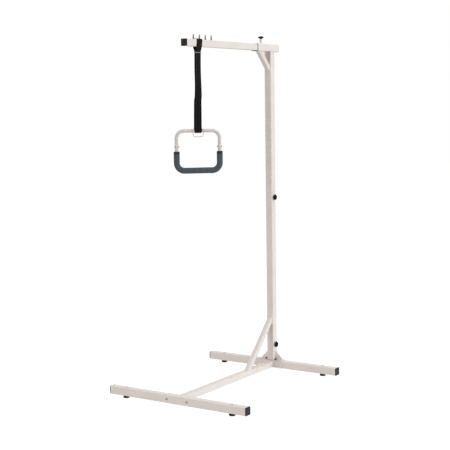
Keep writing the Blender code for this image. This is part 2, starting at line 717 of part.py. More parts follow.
def make_arm(paint, cap_plastic, pale_plastic, zinc, pivot):
    """The sliding arm with its end caps and the pegs that keep the strap in place."""
    arm = piece("arm_tube", square_tube(
        ARM, ARM_WALL, ARM_CORNER, (0, ARM_FRONT, ARM_MIDDLE), (0, ARM_BACK, ARM_MIDDLE)), paint, pivot)
    tenon = PEG_TENON_DIAMETER / 2
    pairs = [((0, y, ARM_TOP - 2 * ARM_WALL), (0, y, ARM_TOP + ARM_WALL)) for y in PEG_Y]
    cut(arm, holes(pairs, tenon + TOUCH))
    inside = ARM - 2 * ARM_WALL - 2 * TOUCH
    for name, level, axis, material in (("arm_front_cap", -ARM_FRONT, -Y_AXIS, cap_plastic),
                                        ("arm_rear_cap", ARM_BACK, Y_AXIS, pale_plastic)):
        flange = cap_flange(ARM, ARM_CORNER, level + TOUCH, level + ARM_CAP_FLANGE)
        rings = plug_rings((0, 0, ARM_MIDDLE), axis, X_AXIS, inside, CAP_WALL, CAP_PLUG, flange)
        piece(name, skin(rings), material, pivot)
    base = PEG_DIAMETER / 2
    tip = PEG_TIP_DIAMETER / 2
    profile = [(tenon, -ARM_WALL - TOUCH), (tenon, 0.0), (base, 0.0), (base, PEG_BASE_HEIGHT)]
    profile += dome(tip, PEG_HEIGHT - tip, PEG_HEIGHT)
    for number, y in enumerate(PEG_Y, 1):
        rings = turned(profile, (0, y, ARM_TOP + TOUCH), sides=BOLT_SIDES)
        piece(f"strap_peg_{number}", skin(rings), zinc, pivot)


def loop_half(side):
    """Returns the points, width directions and facings of half of the loop over the
    arm, from the join below the arm up to the middle of the arm's top."""
    clear = ARM / 2 + TOUCH + WEBBING / 2
    near = WEBBING / 2 + TOUCH / 2
    corner = ARM_CORNER + TOUCH + WEBBING / 2
    fork = STRAP_JOIN + CLASP_HEIGHT + TOUCH
    rise = ARM_BOTTOM + ARM_CORNER - fork
    across = width_direction(TURN_AT_JOIN)
    run = [(Vector((0, JOIN_Y, STRAP_JOIN)) + Z_AXIS.cross(across) * near * -side, across,
            Z_AXIS.cross(across))]
    for step in range(BEND_STEPS + 1):
        part = step / BEND_STEPS
        ease = eased(part)
        turn = TURN_AT_JOIN + (TURN_OVER_ARM - TURN_AT_JOIN) * eased(part / LOOP_TURN_END)
        across = width_direction(turn)
        spread = near + (clear - near) * ease
        slope = 6 * part * (1 - part) / rise
        outward = Z_AXIS.cross(across) * -side
        point = Vector((0, JOIN_Y - STRAP_JOIN_SHIFT * ease, fork + rise * part)) + outward * spread
        along = (Z_AXIS + outward * (clear - near) * slope - Y_AXIS * STRAP_JOIN_SHIFT * slope).normalized()
        run.append((point, across, along.cross(across).normalized()))
    middle = Vector((side * (clear - corner), STRAP_Y, ARM_TOP + TOUCH + WEBBING / 2 - corner))
    for step in range(CORNER_STEPS + 1):
        angle = step / CORNER_STEPS * math.pi / 2
        away = Vector((side * math.cos(angle), 0, math.sin(angle)))
        run.append((middle + away * corner, Y_AXIS.copy(), away * -side))
    return run


def make_strap_loop(webbing, steel, pivot):
    """The strap's loop over the arm, and the clasp that holds its two legs together."""
    left = loop_half(-1)
    right = loop_half(1)
    rings = []
    for point, across, through in left:
        rings.append(band_ring(point, across, through, WEBBING_WIDTH, WEBBING))
    for point, across, through in reversed(right):
        rings.append(band_ring(point, across, -through, WEBBING_WIDTH, WEBBING))
    piece("strap_loop", skin(rings), webbing, pivot)
    outer = rounded_plate(WEBBING_WIDTH + 2 * CLASP_WALL + 2 * TOUCH,
                          2 * WEBBING + 3 * TOUCH + 2 * CLASP_WALL, CLASP_CORNER)
    inner = rounded_plate(WEBBING_WIDTH + 2 * TOUCH, 2 * WEBBING + 3 * TOUCH, SMALLEST_CORNER)
    across = width_direction(TURN_AT_JOIN)
    through = Z_AXIS.cross(across)
    middle = Vector((0, JOIN_Y, STRAP_JOIN))
    rings = []
    for outline, level in ((outer, 0.0), (outer, CLASP_HEIGHT), (inner, CLASP_HEIGHT), (inner, 0.0)):
        rings.append([middle + Z_AXIS * level + across * a + through * b for a, b in outline])
    piece("strap_clasp", skin(rings, hollow=True), steel, pivot)


def make_strap_band(webbing, pivot):
    """The doubled band from the join to the handle, with a part turn along its length
    and the loop round the handle's tube."""
    double = 2 * WEBBING
    start = STRAP_JOIN - TOUCH
    loop_radius = HANDLE_TUBE / 2 + TOUCH + WEBBING / 2
    throat = HANDLE_AXIS + 2 * loop_radius
    top = start - WEBBING
    rings = []
    for step in range(1, END_STEPS + 1):
        angle = step / END_STEPS * math.pi / 2
        across = width_direction(TURN_AT_JOIN)
        level = top + WEBBING * math.cos(angle)
        rings.append(band_ring(Vector((0, JOIN_Y, level)), across, Z_AXIS.cross(across), WEBBING_WIDTH,
                               double * math.sin(angle)))
    for step in range(1, BAND_STEPS + 1):
        part = step / BAND_STEPS
        turn = TURN_AT_JOIN + (HANDLE_TURN - TURN_AT_JOIN) * eased((part - TURN_START) / (1 - TURN_START))
        across = width_direction(turn)
        through = Z_AXIS.cross(across)
        middle = Vector((0, JOIN_Y - STRAP_JOIN_SHIFT * part, top + (throat - top) * part))
        rings.append(band_ring(middle, across, through, WEBBING_WIDTH, double))
    rings.extend(handle_loop_rings(loop_radius, throat))
    piece("strap_band", skin(rings), webbing, pivot)


def handle_loop_rings(radius, throat):
    """Returns the band's rings round the handle's tube: down its front, under it and
    up its back, to end against the band."""
    across = width_direction(HANDLE_TURN)
    behind = Z_AXIS.cross(across)
    axis_point = Vector((0, STRAP_Y, HANDLE_AXIS))
    steps = 3 * BEND_STEPS
    rings = []
    for step in range(steps + 1):
        angle = WRAP_OPENING + (2 * math.pi - 2 * WRAP_OPENING) * step / steps
        away = Z_AXIS * math.cos(angle) - behind * math.sin(angle)
        rings.append(band_ring(axis_point + away * radius, across, -away, WEBBING_WIDTH, WEBBING))
    end = axis_point + Z_AXIS * (throat - HANDLE_AXIS) + behind * (1.5 * WEBBING + TOUCH)
    rings.append(band_ring(end, across, -behind, WEBBING_WIDTH, WEBBING))
    return rings


def make_handle(paint, foam, zinc, pivot):
    """The handle in its own frame: X along the top tube, Z up, origin on the tube's
    axis. The upper bow takes the ends of the lower one, which the grip covers."""
    radius = HANDLE_TUBE / 2
    seam = -GRIP_DROP
    upper_path = bend_path(HANDLE_WIDTH, 0.0, seam + TOUCH, HANDLE_CORNER, True)
    lower_radius = radius - HANDLE_WALL - TOUCH
    lower_path = bend_path(HANDLE_WIDTH, seam + LOWER_BOW_ENGAGED, -HANDLE_HEIGHT, HANDLE_CORNER, False)
    grip_path = bend_path(HANDLE_WIDTH, seam, -HANDLE_HEIGHT, HANDLE_CORNER, False)
    bows = []
    for name, path, outer in (("handle_upper_bow", upper_path, radius),
                              ("handle_lower_bow", lower_path, lower_radius)):
        tube = swept_tube(path, outer, outer - HANDLE_WALL, TUBE_SIDES)
        bows.append(piece(name, tube, paint, pivot, True))
    foam_tube = swept_tube(grip_path, GRIP_DIAMETER / 2, lower_radius + TOUCH, TUBE_SIDES)
    piece("foam_grip", foam_tube, foam, pivot, True)
    for bow in bows:
        pairs = []
        for side in (-1, 1):
            middle = Vector((side * HANDLE_WIDTH / 2, 0, -SCREW_DROP))
            pairs.append((middle - X_AXIS * HANDLE_TUBE, middle + X_AXIS * HANDLE_TUBE))
        cut(bow, holes(pairs, SCREW_DIAMETER / 2 + TOUCH), True)
    sizes = (SCREW_DIAMETER, SCREW_HEAD_DIAMETER, SCREW_HEAD_HEIGHT)
    grip = HANDLE_TUBE + 2 * TOUCH
    nut = (SCREW_NUT_WIDTH, SCREW_NUT_HEIGHT, grip)
    length = grip + SCREW_NUT_HEIGHT + THREAD_END / 2
    for side, sign in (("left", -1), ("right", 1)):
        outward = X_AXIS * sign
        seat = Vector((sign * HANDLE_WIDTH / 2, 0, -SCREW_DROP)) + outward * (radius + TOUCH)
        piece(f"{side}_handle_screw", dome_bolt(seat, outward, Y_AXIS, length, sizes, nut), zinc, pivot, True)
    keeper_path = bend_path(KEEPER_WIDTH, radius, -KEEPER_DROP, KEEPER_CORNER, False)
    shift = Vector((0, -(radius + KEEPER_WIRE / 2 + TOUCH), 0))
    moved = [(point + shift, along) for point, along in keeper_path]
    piece("strap_keeper", skin(swept_rings(moved, KEEPER_WIRE / 2, WIRE_SIDES)), zinc, pivot, True)


def lobed(size):
    """Returns the star outline of a knob, or a circle for sizes up to the hub's."""
    outline = []
    sides = KNOB_LOBES * LOBE_SIDES
    depth = KNOB_LOBE_DEPTH if size > KNOB_HUB_DIAMETER else 0.0
    for i in range(sides):
        angle = 2 * math.pi * i / sides
        radius = size / 2 - depth + depth * math.cos(KNOB_LOBES * angle)
        outline.append((radius * math.cos(angle), radius * math.sin(angle)))
    return outline


def make_knob(name, pivot, axis, side_axis, seat, stud_length, black, zinc):
    """A star knob on its stud. The seat is the knob's foot along the axis, from the
    pivot, and the stud runs on from there through the insert or the boss."""
    rim = KNOB_DIAMETER
    inner_rim = rim - 2 * KNOB_EDGE
    bore = STUD_DIAMETER + 2 * TOUCH
    hub = KNOB_HUB_DIAMETER
    profile = [(bore, STUD_SEAT), (bore, 0.0), (hub, 0.0), (hub, KNOB_COLLAR_HEIGHT),
               (inner_rim, KNOB_COLLAR_HEIGHT), (rim, KNOB_COLLAR_HEIGHT + KNOB_EDGE),
               (rim, KNOB_LOBE_TOP - KNOB_EDGE), (inner_rim, KNOB_LOBE_TOP), (KNOB_CROWN_DIAMETER, KNOB_HEIGHT)]
    origin = axis * seat
    piece(name, skin(stack(profile, origin, axis, side_axis, lobed)), black, pivot, True)
    stud = STUD_DIAMETER / 2
    rows = [(stud - STUD_TIP, seat - stud_length), (stud, seat - stud_length + STUD_TIP),
            (stud, seat + STUD_SEAT - TOUCH)]
    piece(name + "_stud", skin(turned(rows, (0, 0, 0), axis, side_axis, BOLT_SIDES)), zinc, pivot, True)


def make_knobs(black, zinc, upper):
    """The knobs that lock the base spigot, the post's spigot and the arm."""
    face = TUBE / 2
    seat = 2 * TOUCH + INSERT_FLANGE_THICKNESS
    reach = seat + TUBE_WALL
    for name, z in (("lower_knob", LOWER_KNOB_Z), ("mid_knob", MID_KNOB_Z)):
        pivot = empty(name + "_turn", Matrix.Translation((face, POST_Y, z)))
        make_knob(name, pivot, X_AXIS, Y_AXIS, seat, reach, black, zinc)
    pivot = empty("arm_knob_turn", Matrix.Translation((0, ARM_KNOB_Y, SLEEVE_TOP)), upper)
    seat = 2 * TOUCH + BOSS_HEIGHT
    reach = seat + SLEEVE_WALL
    make_knob("arm_knob", pivot, Z_AXIS, X_AXIS, seat, reach, black, zinc)


def main():
    clear_scene()
    paint = finish("cream_powder_coat", (0.80, 0.76, 0.70), 0.38)
    cap_plastic = finish("black_cap_plastic", (0.030, 0.033, 0.038), 0.45)
    pale_plastic = finish("pale_plastic", (0.74, 0.73, 0.70), 0.45)
    rubber = finish("black_rubber", (0.020, 0.020, 0.020), 0.80)
    zinc = finish("zinc_plated_steel", (0.60, 0.60, 0.58), 0.35, 1.0)
    black_steel = finish("black_steel", (0.030, 0.028, 0.026), 0.40, 0.6)
    knob_plastic = finish("black_knob_plastic", (0.012, 0.012, 0.013), 0.40)
    webbing = finish("black_webbing", (0.012, 0.011, 0.013), 0.85)
    foam = finish("slate_foam", (0.060, 0.085, 0.105), 0.85)

    make_base(paint, cap_plastic, rubber, zinc, black_steel)
    make_lower_post(paint, zinc)
    upper = empty("upper_post_slide", Matrix.Translation((0, POST_Y, POST_JOINT)))
    make_upper_post(paint, upper)
    make_knobs(knob_plastic, zinc, upper)
    arm = empty("arm_slide", Matrix.Translation((0, SLEEVE_FRONT_Y, ARM_MIDDLE)), upper)
    make_arm(paint, cap_plastic, pale_plastic, zinc, arm)
    make_strap_loop(webbing, zinc, arm)
    swing = empty("strap_swing", Matrix.Translation((0, JOIN_Y, STRAP_JOIN - TOUCH - WEBBING)), arm)
    make_strap_band(webbing, swing)
    turn = Matrix.Translation((0, STRAP_Y, HANDLE_AXIS)) @ Matrix.Rotation(HANDLE_TURN, 4, "Z")
    make_handle(paint, foam, zinc, empty("handle_tilt", turn, swing))


main()
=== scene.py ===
"""The looks of the freestanding trapeze: powder-coated square tube, a webbing strap with
its stitching, a foam grip, star knobs, pegs, bolts and weld beads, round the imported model.

Metres, +Z up, in the frame of the model. The arm points along -Y.
"""

import json
import math

import bmesh
import bpy
from mathutils import Matrix, Vector, noise


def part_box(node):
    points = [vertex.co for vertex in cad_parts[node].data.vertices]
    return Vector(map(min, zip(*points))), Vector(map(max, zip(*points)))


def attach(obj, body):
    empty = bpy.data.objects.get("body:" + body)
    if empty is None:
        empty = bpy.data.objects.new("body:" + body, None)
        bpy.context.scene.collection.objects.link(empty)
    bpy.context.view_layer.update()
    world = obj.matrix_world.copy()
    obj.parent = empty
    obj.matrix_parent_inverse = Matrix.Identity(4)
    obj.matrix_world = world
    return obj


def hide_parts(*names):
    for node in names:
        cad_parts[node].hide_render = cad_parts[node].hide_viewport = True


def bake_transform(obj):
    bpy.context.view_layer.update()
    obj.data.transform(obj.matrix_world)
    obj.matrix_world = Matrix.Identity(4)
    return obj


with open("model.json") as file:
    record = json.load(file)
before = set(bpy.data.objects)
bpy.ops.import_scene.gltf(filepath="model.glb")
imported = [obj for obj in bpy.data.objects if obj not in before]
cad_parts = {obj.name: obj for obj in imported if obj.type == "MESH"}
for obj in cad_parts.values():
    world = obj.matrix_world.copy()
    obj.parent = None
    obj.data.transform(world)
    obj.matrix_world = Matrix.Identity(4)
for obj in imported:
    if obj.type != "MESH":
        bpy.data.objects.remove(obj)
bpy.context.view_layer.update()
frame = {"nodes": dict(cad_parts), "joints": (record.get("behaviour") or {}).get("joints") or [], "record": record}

# Camera: the photograph's view, for an image of 450 x 450 pixels
IMAGE_SIZE = 450
FOCAL_PIXELS = 1099.6
SENSOR = 36.0
CAMERA_PLACE = Vector((3.0916, -4.6960, 1.4505))
CAMERA_AZIMUTH = math.radians(33.535)
CAMERA_PITCH = math.radians(6.183)
CAMERA_ROLL = math.radians(-0.800)

# Sizes shared with the model
TOUCH = 0.0003
WEBBING_WIDTH = 0.038
CLASP_HEIGHT = 0.0045
TURN_OVER_ARM = math.radians(90)
TURN_START = 0.30
LOOP_TURN_END = 0.80
ARM_CORNER = 0.003
HANDLE_WIDTH = 0.213
HANDLE_HEIGHT = 0.195
HANDLE_CORNER = 0.038
HANDLE_TUBE = 0.0176
HANDLE_WALL = 0.0013
GRIP_DIAMETER = 0.030
GRIP_DROP = 0.101
SCREW_DROP = 0.078
KEEPER_WIRE = 0.0045
KEEPER_WIDTH = 0.050
KEEPER_DROP = 0.029
KEEPER_CORNER = 0.008
KNOB_DIAMETER = 0.032
KNOB_HEIGHT = 0.0135
KNOB_LOBES = 5
STUD_DIAMETER = 0.0078
INSERT_FLANGE = 0.0012
BOSS_HEIGHT = 0.024
BOLT_DIAMETER = 0.006
BOLT_HEAD = 0.0125
BOLT_HEAD_HEIGHT = 0.0038
NUT_WIDTH = 0.010
NUT_HEIGHT = 0.005
THREAD_END = 0.002
SCREW_DIAMETER = 0.004
SCREW_HEAD = 0.0075
SCREW_HEAD_HEIGHT = 0.003
SCREW_NUT_WIDTH = 0.007
SCREW_NUT_HEIGHT = 0.0032
PEG_DIAMETER = 0.008
PEG_TIP_DIAMETER = 0.0055
PEG_BASE_HEIGHT = 0.006

# The webbing's thickness, single, over the arm and round the handle, and the spread of
# its width where it is thicker
WEBBING = 0.0015
LOOP_WEBBING = 0.0028
LOOP_SPREAD = 0.0065
WRAP_WEBBING = 0.0026
WRAP_SPREAD = -0.0054

# How far the strap's legs and plies lie from its middle
NEAR_LEG_SHIFT = -0.003
FAR_LEG_SHIFT = 0.019
LEG_SHIFT = 0.00095
PLY_SHIFT = 0.00081

# A small sideways bow of the band, between two heights
RIPPLE = 0.0029
RIPPLE_TOP = 1.645
RIPPLE_TOP_FADE = 0.11
RIPPLE_FOOT = 1.474
RIPPLE_FOOT_FADE = 0.03

# Finer than the model
ROUND_SIDES = 36
BEND_STEPS = 18
PLY_STEPS = 84
WRAP_STEPS = 44
LEG_STEPS = 26
BOLT_SOCKET = 0.004
SCREW_SOCKET = 0.0025
# A dark lip in the sleeve's mouth, round the arm, and a dark tongue under the arm
DARK_LIP = 0.0014
DARK_TONGUE = 0.019
DARK_TONGUE_WIDTH = 0.022
DARK_TONGUE_DEPTH = 0.0022
WELD_RADIUS = 0.0019
BOSS_WELD_RADIUS = 0.0014
WELD_RIPPLE = 0.0024

X_AXIS = Vector((1, 0, 0))
Y_AXIS = Vector((0, 1, 0))
Z_AXIS = Vector((0, 0, 1))

joints = {joint["name"]: joint for joint in frame["joints"]}
swing = joints["strap_swing"]
tilt = joints["handle_tilt"]
TURN_AT_JOIN = math.atan2(swing["axis"][1], swing["axis"][0])
HANDLE_TURN = math.atan2(tilt["axis"][1], tilt["axis"][0])
JOIN_Y = swing["pos_m"][1]
STRAP_Y = tilt["pos_m"][1]
HANDLE_AXIS = tilt["pos_m"][2]
STRAP_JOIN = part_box("strap_clasp")[0][2]
handle_matrix = Matrix.Translation((0, STRAP_Y, HANDLE_AXIS)) @ Matrix.Rotation(HANDLE_TURN, 4, "Z")


# Materials

class Nodes:
    """A node tree, with short calls to add and join nodes."""

    def __init__(self, tree):
        self.tree = tree

    def add(self, kind, inputs=None, **settings):
        """Adds a node. Inputs are values or sockets, by name or number."""
        node = self.tree.nodes.new(kind)
        for key, value in settings.items():
            setattr(node, key, value)
        for key, value in (inputs or {}).items():
            if isinstance(value, bpy.types.NodeSocket):
                self.tree.links.new(value, node.inputs[key])
            else:
                node.inputs[key].default_value = value
        return node

    def math(self, operation, *values):
        """Adds a Math node and returns its result."""
        node = self.add("ShaderNodeMath", dict(enumerate(values)), operation=operation)
        return node.outputs[0]

    def object_place(self):
        """Returns the place on the piece, in metres."""
        return self.add("ShaderNodeTexCoord").outputs["Object"]

    def noise(self, place, scale, detail=2.0, roughness=0.5):
        """Returns noise from 0 to 1 with a grain of 1 / scale metres."""
        inputs = {"Vector": place, "Scale": scale, "Detail": detail, "Roughness": roughness}
        return self.add("ShaderNodeTexNoise", inputs).outputs["Fac"]

    def span(self, value, from_low, from_high, to_low, to_high):
        """Returns a value moved from one range to another, and kept within it."""
        inputs = {"Value": value, "From Min": from_low, "From Max": from_high,
                  "To Min": to_low, "To Max": to_high}
        return self.add("ShaderNodeMapRange", inputs).outputs["Result"]

    def blend(self, factor, first, second):
        """Returns a mix of two colours, given as colours or sockets."""
        node = self.add("ShaderNodeMix", data_type="RGBA")
        inputs = ((node.inputs[0], factor), (node.inputs[6], first), (node.inputs[7], second))
        for socket, value in inputs:
            if isinstance(value, bpy.types.NodeSocket):
                self.tree.links.new(value, socket)
            elif isinstance(value, tuple):
                socket.default_value = (*value, 1.0)
            else:
                socket.default_value = value
        return node.outputs[2]

    def bump(self, height, distance, strength, normal=None):
        """Returns a normal bent by a height from 0 to 1 that stands for a distance."""
        inputs = {"Height": height, "Distance": distance, "Strength": strength}
        if normal:
            inputs["Normal"] = normal
        return self.add("ShaderNodeBump", inputs).outputs["Normal"]

    def by_ray(self, lighting, shown):
        """Returns one node's shader for the rays that light the object, and another's for
        camera, glossy and transmission rays."""
        rays = self.add("ShaderNodeLightPath").outputs
        direct = self.math("MAXIMUM", rays["Is Camera Ray"], rays["Is Glossy Ray"])
        direct = self.math("MAXIMUM", direct, rays["Is Transmission Ray"])
        inputs = {0: direct, 1: lighting.outputs[0], 2: shown.outputs[0]}
        return self.add("ShaderNodeMixShader", inputs).outputs[0]


class Shader(Nodes):
    """A material with a Principled surface, and its nodes."""

    def __init__(self, name, roughness, metallic=0.0, **sockets):
        self.material = bpy.data.materials.new(name)
        self.material.use_nodes = True
        super().__init__(self.material.node_tree)
        self.surface = self.tree.nodes["Principled BSDF"]
        self.surface.inputs["Roughness"].default_value = roughness
        self.surface.inputs["Metallic"].default_value = metallic
        for socket, value in sockets.items():
            self.surface.inputs[socket.replace("_", " ")].default_value = value

    def finish(self, color, roughness, normal):
        """Joins what varies to the surface, and returns the material."""
        for socket, value in (("Base Color", color), ("Roughness", roughness), ("Normal", normal)):
            self.tree.links.new(value, self.surface.inputs[socket])
        return self.material


def edge_mask(shader, radius):
    """Returns a mask that is 1 on the piece's edges and 0 on its faces, and a normal that
    rounds the edges."""
    round_normal = shader.add("ShaderNodeBevel", {"Radius": radius}, samples=4).outputs["Normal"]
    flat_normal = shader.add("ShaderNodeNewGeometry").outputs["Normal"]
    normals = {0: round_normal, 1: flat_normal}
    dot = shader.add("ShaderNodeVectorMath", normals, operation="DOT_PRODUCT")
    return shader.span(dot.outputs["Value"], 0.995, 0.86, 0.0, 1.0), round_normal


def powder_coat(name, dark, light):
    """Satin powder coat: a fine orange peel, a faint cloudiness, specks and worn edges."""
    shader = Shader(name, 0.42, Coat_Weight=0.12, Coat_Roughness=0.22)
    place = shader.object_place()
    cloud = shader.noise(place, 9.0, 3.0)
    color = shader.blend(shader.span(cloud, 0.35, 0.65, 0.0, 1.0), dark, light)
    worn = (0.70, 0.655, 0.60)
    edges, round_normal = edge_mask(shader, 0.0011)
    rub = shader.span(shader.noise(place, 160.0, 3.0), 0.45, 0.70, 0.0, 0.5)
    color = shader.blend(shader.math("MULTIPLY", edges, rub), color, worn)
    speck = (0.55, 0.50, 0.45)
    grains = shader.add("ShaderNodeTexVoronoi", {"Vector": place, "Scale": 420.0})
    near = shader.span(grains.outputs["Distance"], 0.0, 0.07, 0.28, 0.0)
    color = shader.blend(near, color, speck)
    peel = shader.noise(place, 1100.0, 2.0)
    rough = shader.span(cloud, 0.3, 0.7, 0.38, 0.46)
    return shader.finish(color, rough, shader.bump(peel, 0.00005, 0.55, round_normal))


def moulded_plastic(name, dark, light, roughness, grain, gloss):
    """Moulded plastic with a fine spark-eroded grain and rubbed edges."""
    shader = Shader(name, roughness, Specular_IOR_Level=gloss)
    place = shader.object_place()
    cloud = shader.noise(place, 60.0, 3.0)
    color = shader.blend(shader.span(cloud, 0.35, 0.65, 0.0, 1.0), dark, light)
    edges, round_normal = edge_mask(shader, 0.0009)
    rubbed = tuple(1.7 * part for part in light)
    color = shader.blend(shader.math("MULTIPLY", edges, 0.35), color, rubbed)
    rough = shader.span(cloud, 0.3, 0.7, roughness - 0.05, roughness + 0.06)
    texture = shader.noise(place, grain, 3.0, 0.6)
    return shader.finish(color, rough, shader.bump(texture, 0.00006, 0.7, round_normal))


def rubber():
    """Matt black rubber, greyed by dust in its grain."""
    shader = Shader("black_rubber", 0.82, Specular_IOR_Level=0.15)
    place = shader.object_place()
    dust = shader.noise(place, 240.0, 4.0, 0.65)
    dusted = shader.span(dust, 0.45, 0.75, 0.0, 0.6)
    color = shader.blend(dusted, (0.005, 0.0045, 0.004), (0.018, 0.017, 0.016))
    rough = shader.span(dust, 0.3, 0.7, 0.74, 0.90)
    return shader.finish(color, rough, shader.bump(dust, 0.00012, 0.6))


def zinc(name, dark, light, foot=None):
    """Zinc-plated steel: a cloudy plating with a soft brushed gloss. Above a foot that is
    welded, the heat of the weld has left the plating darker."""
    shader = Shader(name, 0.32, 1.0)
    place = shader.object_place()
    cloud = shader.noise(place, 380.0, 4.0, 0.6)
    color = shader.blend(shader.span(cloud, 0.35, 0.65, 0.0, 1.0), dark, light)
    if foot:
        level = shader.add("ShaderNodeSeparateXYZ", {"Vector": place}).outputs["Z"]
        tint = shader.span(level, foot, foot + 0.014, 0.65, 0.0)
        color = shader.blend(tint, color, (0.060, 0.056, 0.052))
    rough = shader.span(cloud, 0.3, 0.7, 0.24, 0.42)
    stretched = shader.add("ShaderNodeMapping", {"Vector": place, "Scale": (900.0, 900.0, 6000.0)})
    lines = shader.noise(stretched.outputs["Vector"], 1.0, 2.0)
    return shader.finish(color, rough, shader.bump(lines, 0.00002, 0.4))


def black_steel():
    """Blackened steel of the socket-head bolts."""
    shader = Shader("black_steel", 0.42, 0.30, Specular_IOR_Level=0.10)
    place = shader.object_place()
    cloud = shader.noise(place, 500.0, 3.0)
    color = shader.blend(cloud, (0.003, 0.0028, 0.0026), (0.009, 0.0085, 0.008))
    rough = shader.span(cloud, 0.3, 0.7, 0.34, 0.52)
    return shader.finish(color, rough, shader.bump(cloud, 0.00003, 0.5))


def webbing():
    """Woven webbing: fine ribs along the strap, crossed by picks that step from rib to
    rib, with two paler lines along it that are a painted highlight, and its edges
    darkened as painted shade."""
    shader = Shader("black_webbing", 0.72, Specular_IOR_Level=0.05,
                    Sheen_Weight=0.02, Sheen_Roughness=0.45)
    run = shader.add("ShaderNodeAttribute", attribute_name="run").outputs["Vector"]
    parts = shader.add("ShaderNodeSeparateXYZ", {"Vector": run})
    across = parts.outputs["X"]
    along = parts.outputs["Y"]
    rib_width = 0.00115
    pick_length = 0.0021
    highlight_line_place = 0.0075
    rib = shader.math("MULTIPLY", across, 2 * math.pi / rib_width)
    rib_wave = shader.math("ABSOLUTE", shader.math("SINE", shader.math("MULTIPLY", rib, 0.5)))
    rib_number = shader.math("FLOOR", shader.math("DIVIDE", across, rib_width))
    step = shader.math("MULTIPLY", rib_number, math.pi / 2)
    pick = shader.math("ADD", shader.math("MULTIPLY", along, 2 * math.pi / pick_length), step)
    pick_wave = shader.span(shader.math("SINE", pick), -1.0, 1.0, 0.35, 1.0)
    weave = shader.math("MULTIPLY", rib_wave, pick_wave)
    fuzz = shader.noise(shader.object_place(), 1800.0, 3.0, 0.7)
    weave = shader.math("ADD", weave, shader.math("MULTIPLY", fuzz, 0.25))
    from_middle = shader.math("ABSOLUTE", across)
    # Painted highlight: two paler lines along the webbing, strongest near the start of each strip
    from_highlight_line = shader.math("ABSOLUTE", shader.math("SUBTRACT", from_middle, highlight_line_place))
    line = shader.span(from_highlight_line, 0.0008, 0.0032, 1.0, 0.0)
    line = shader.math("MULTIPLY", line, shader.span(along, 0.02, 0.16, 0.95, 0.30))
    # Painted shade: the webbing darkens towards its edges
    edge_shade = shader.span(from_middle, 0.0120, 0.0155, 0.0, 0.95)
    crest = shader.span(weave, 0.2, 1.1, 0.0, 1.0)
    color = shader.blend(crest, (0.0050, 0.0046, 0.0052), (0.0190, 0.0176, 0.0196))
    color = shader.blend(line, color, (0.036, 0.034, 0.037))
    color = shader.blend(edge_shade, color, (0.0012, 0.0011, 0.0013))
    rough = shader.span(weave, 0.0, 1.2, 0.82, 0.62)
    return shader.finish(color, rough, shader.bump(weave, 0.00016, 0.9))


def thread():
    """Sewing thread, a little greyer than the webbing."""
    shader = Shader("black_thread", 0.60, Specular_IOR_Level=0.15)
    place = shader.object_place()
    twist = shader.noise(place, 2600.0, 2.0)
    color = shader.blend(twist, (0.008, 0.008, 0.009), (0.026, 0.025, 0.026))
    rough = shader.span(twist, 0.3, 0.7, 0.5, 0.7)
    return shader.finish(color, rough, shader.bump(twist, 0.00008, 0.8))


def foam():
    """Slate foam with a closed, finely pitted skin. It is darker near its ends."""
    shader = Shader("slate_foam", 0.66, Specular_IOR_Level=0.4)
    place = shader.object_place()
    cloud = shader.noise(place, 42.0, 4.0, 0.55)
    cells = shader.add("ShaderNodeTexVoronoi", {"Vector": place, "Scale": 1300.0})
    mottle = shader.noise(place, 420.0, 3.0, 0.6)
    tone = shader.span(cloud, 0.32, 0.68, 0.0, 1.0)
    color = shader.blend(tone, (0.050, 0.069, 0.087), (0.077, 0.096, 0.114))
    color = shader.blend(shader.span(mottle, 0.45, 0.75, 0.0, 0.30), color, (0.030, 0.042, 0.050))
    # Darker within about 9 to 16 mm of each end of the grip
    run = shader.add("ShaderNodeAttribute", attribute_name="run").outputs["Vector"]
    from_end = shader.add("ShaderNodeSeparateXYZ", {"Vector": run}).outputs["Y"]
    end_darkening = shader.span(from_end, 0.009, 0.016, 0.95, 0.0)
    color = shader.blend(end_darkening, color, (0.010, 0.011, 0.012))
    rough = shader.span(cloud, 0.3, 0.7, 0.60, 0.72)
    fine = shader.math("MULTIPLY", cells.outputs["Distance"], 0.6)
    pits = shader.math("ADD", fine, shader.math("MULTIPLY", mottle, 0.4))
    return shader.finish(color, rough, shader.bump(pits, 0.00012, 0.55))


# Each material takes a darker and a lighter colour, between which it clouds
materials = {
    "cream_powder_coat": powder_coat(
        "cream_powder_coat", (0.818, 0.749, 0.703), (0.853, 0.784, 0.738)),
    "handle_powder_coat": powder_coat(
        "handle_powder_coat", (0.690, 0.638, 0.605), (0.725, 0.673, 0.640)),
    "black_cap_plastic": moulded_plastic(
        "black_cap_plastic", (0.012, 0.0115, 0.014), (0.021, 0.020, 0.024),
        roughness=0.46, grain=1500.0, gloss=0.20),
    "pale_plastic": moulded_plastic(
        "pale_plastic", (0.66, 0.655, 0.635), (0.72, 0.715, 0.695),
        roughness=0.48, grain=1500.0, gloss=0.40),
    "black_knob_plastic": moulded_plastic(
        "black_knob_plastic", (0.0022, 0.0020, 0.0020), (0.0050, 0.0046, 0.0044),
        roughness=0.46, grain=1900.0, gloss=0.06),
    "zinc_plated_steel": zinc("zinc_plated_steel", (0.25, 0.25, 0.245), (0.42, 0.415, 0.405)),
    "dull_zinc": zinc("dull_zinc", (0.16, 0.16, 0.16), (0.28, 0.28, 0.275)),
    "bright_zinc": zinc("bright_zinc", (0.56, 0.55, 0.53), (0.74, 0.73, 0.71)),
    "peg_zinc": zinc("peg_zinc", (0.17, 0.165, 0.16), (0.29, 0.285, 0.28),
                     foot=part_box("arm_tube")[1][2]),
    "black_steel": black_steel(),
    "black_rubber": rubber(),
    "black_webbing": webbing(),
    "black_thread": thread(),
    "slate_foam": foam(),
}


# Meshes

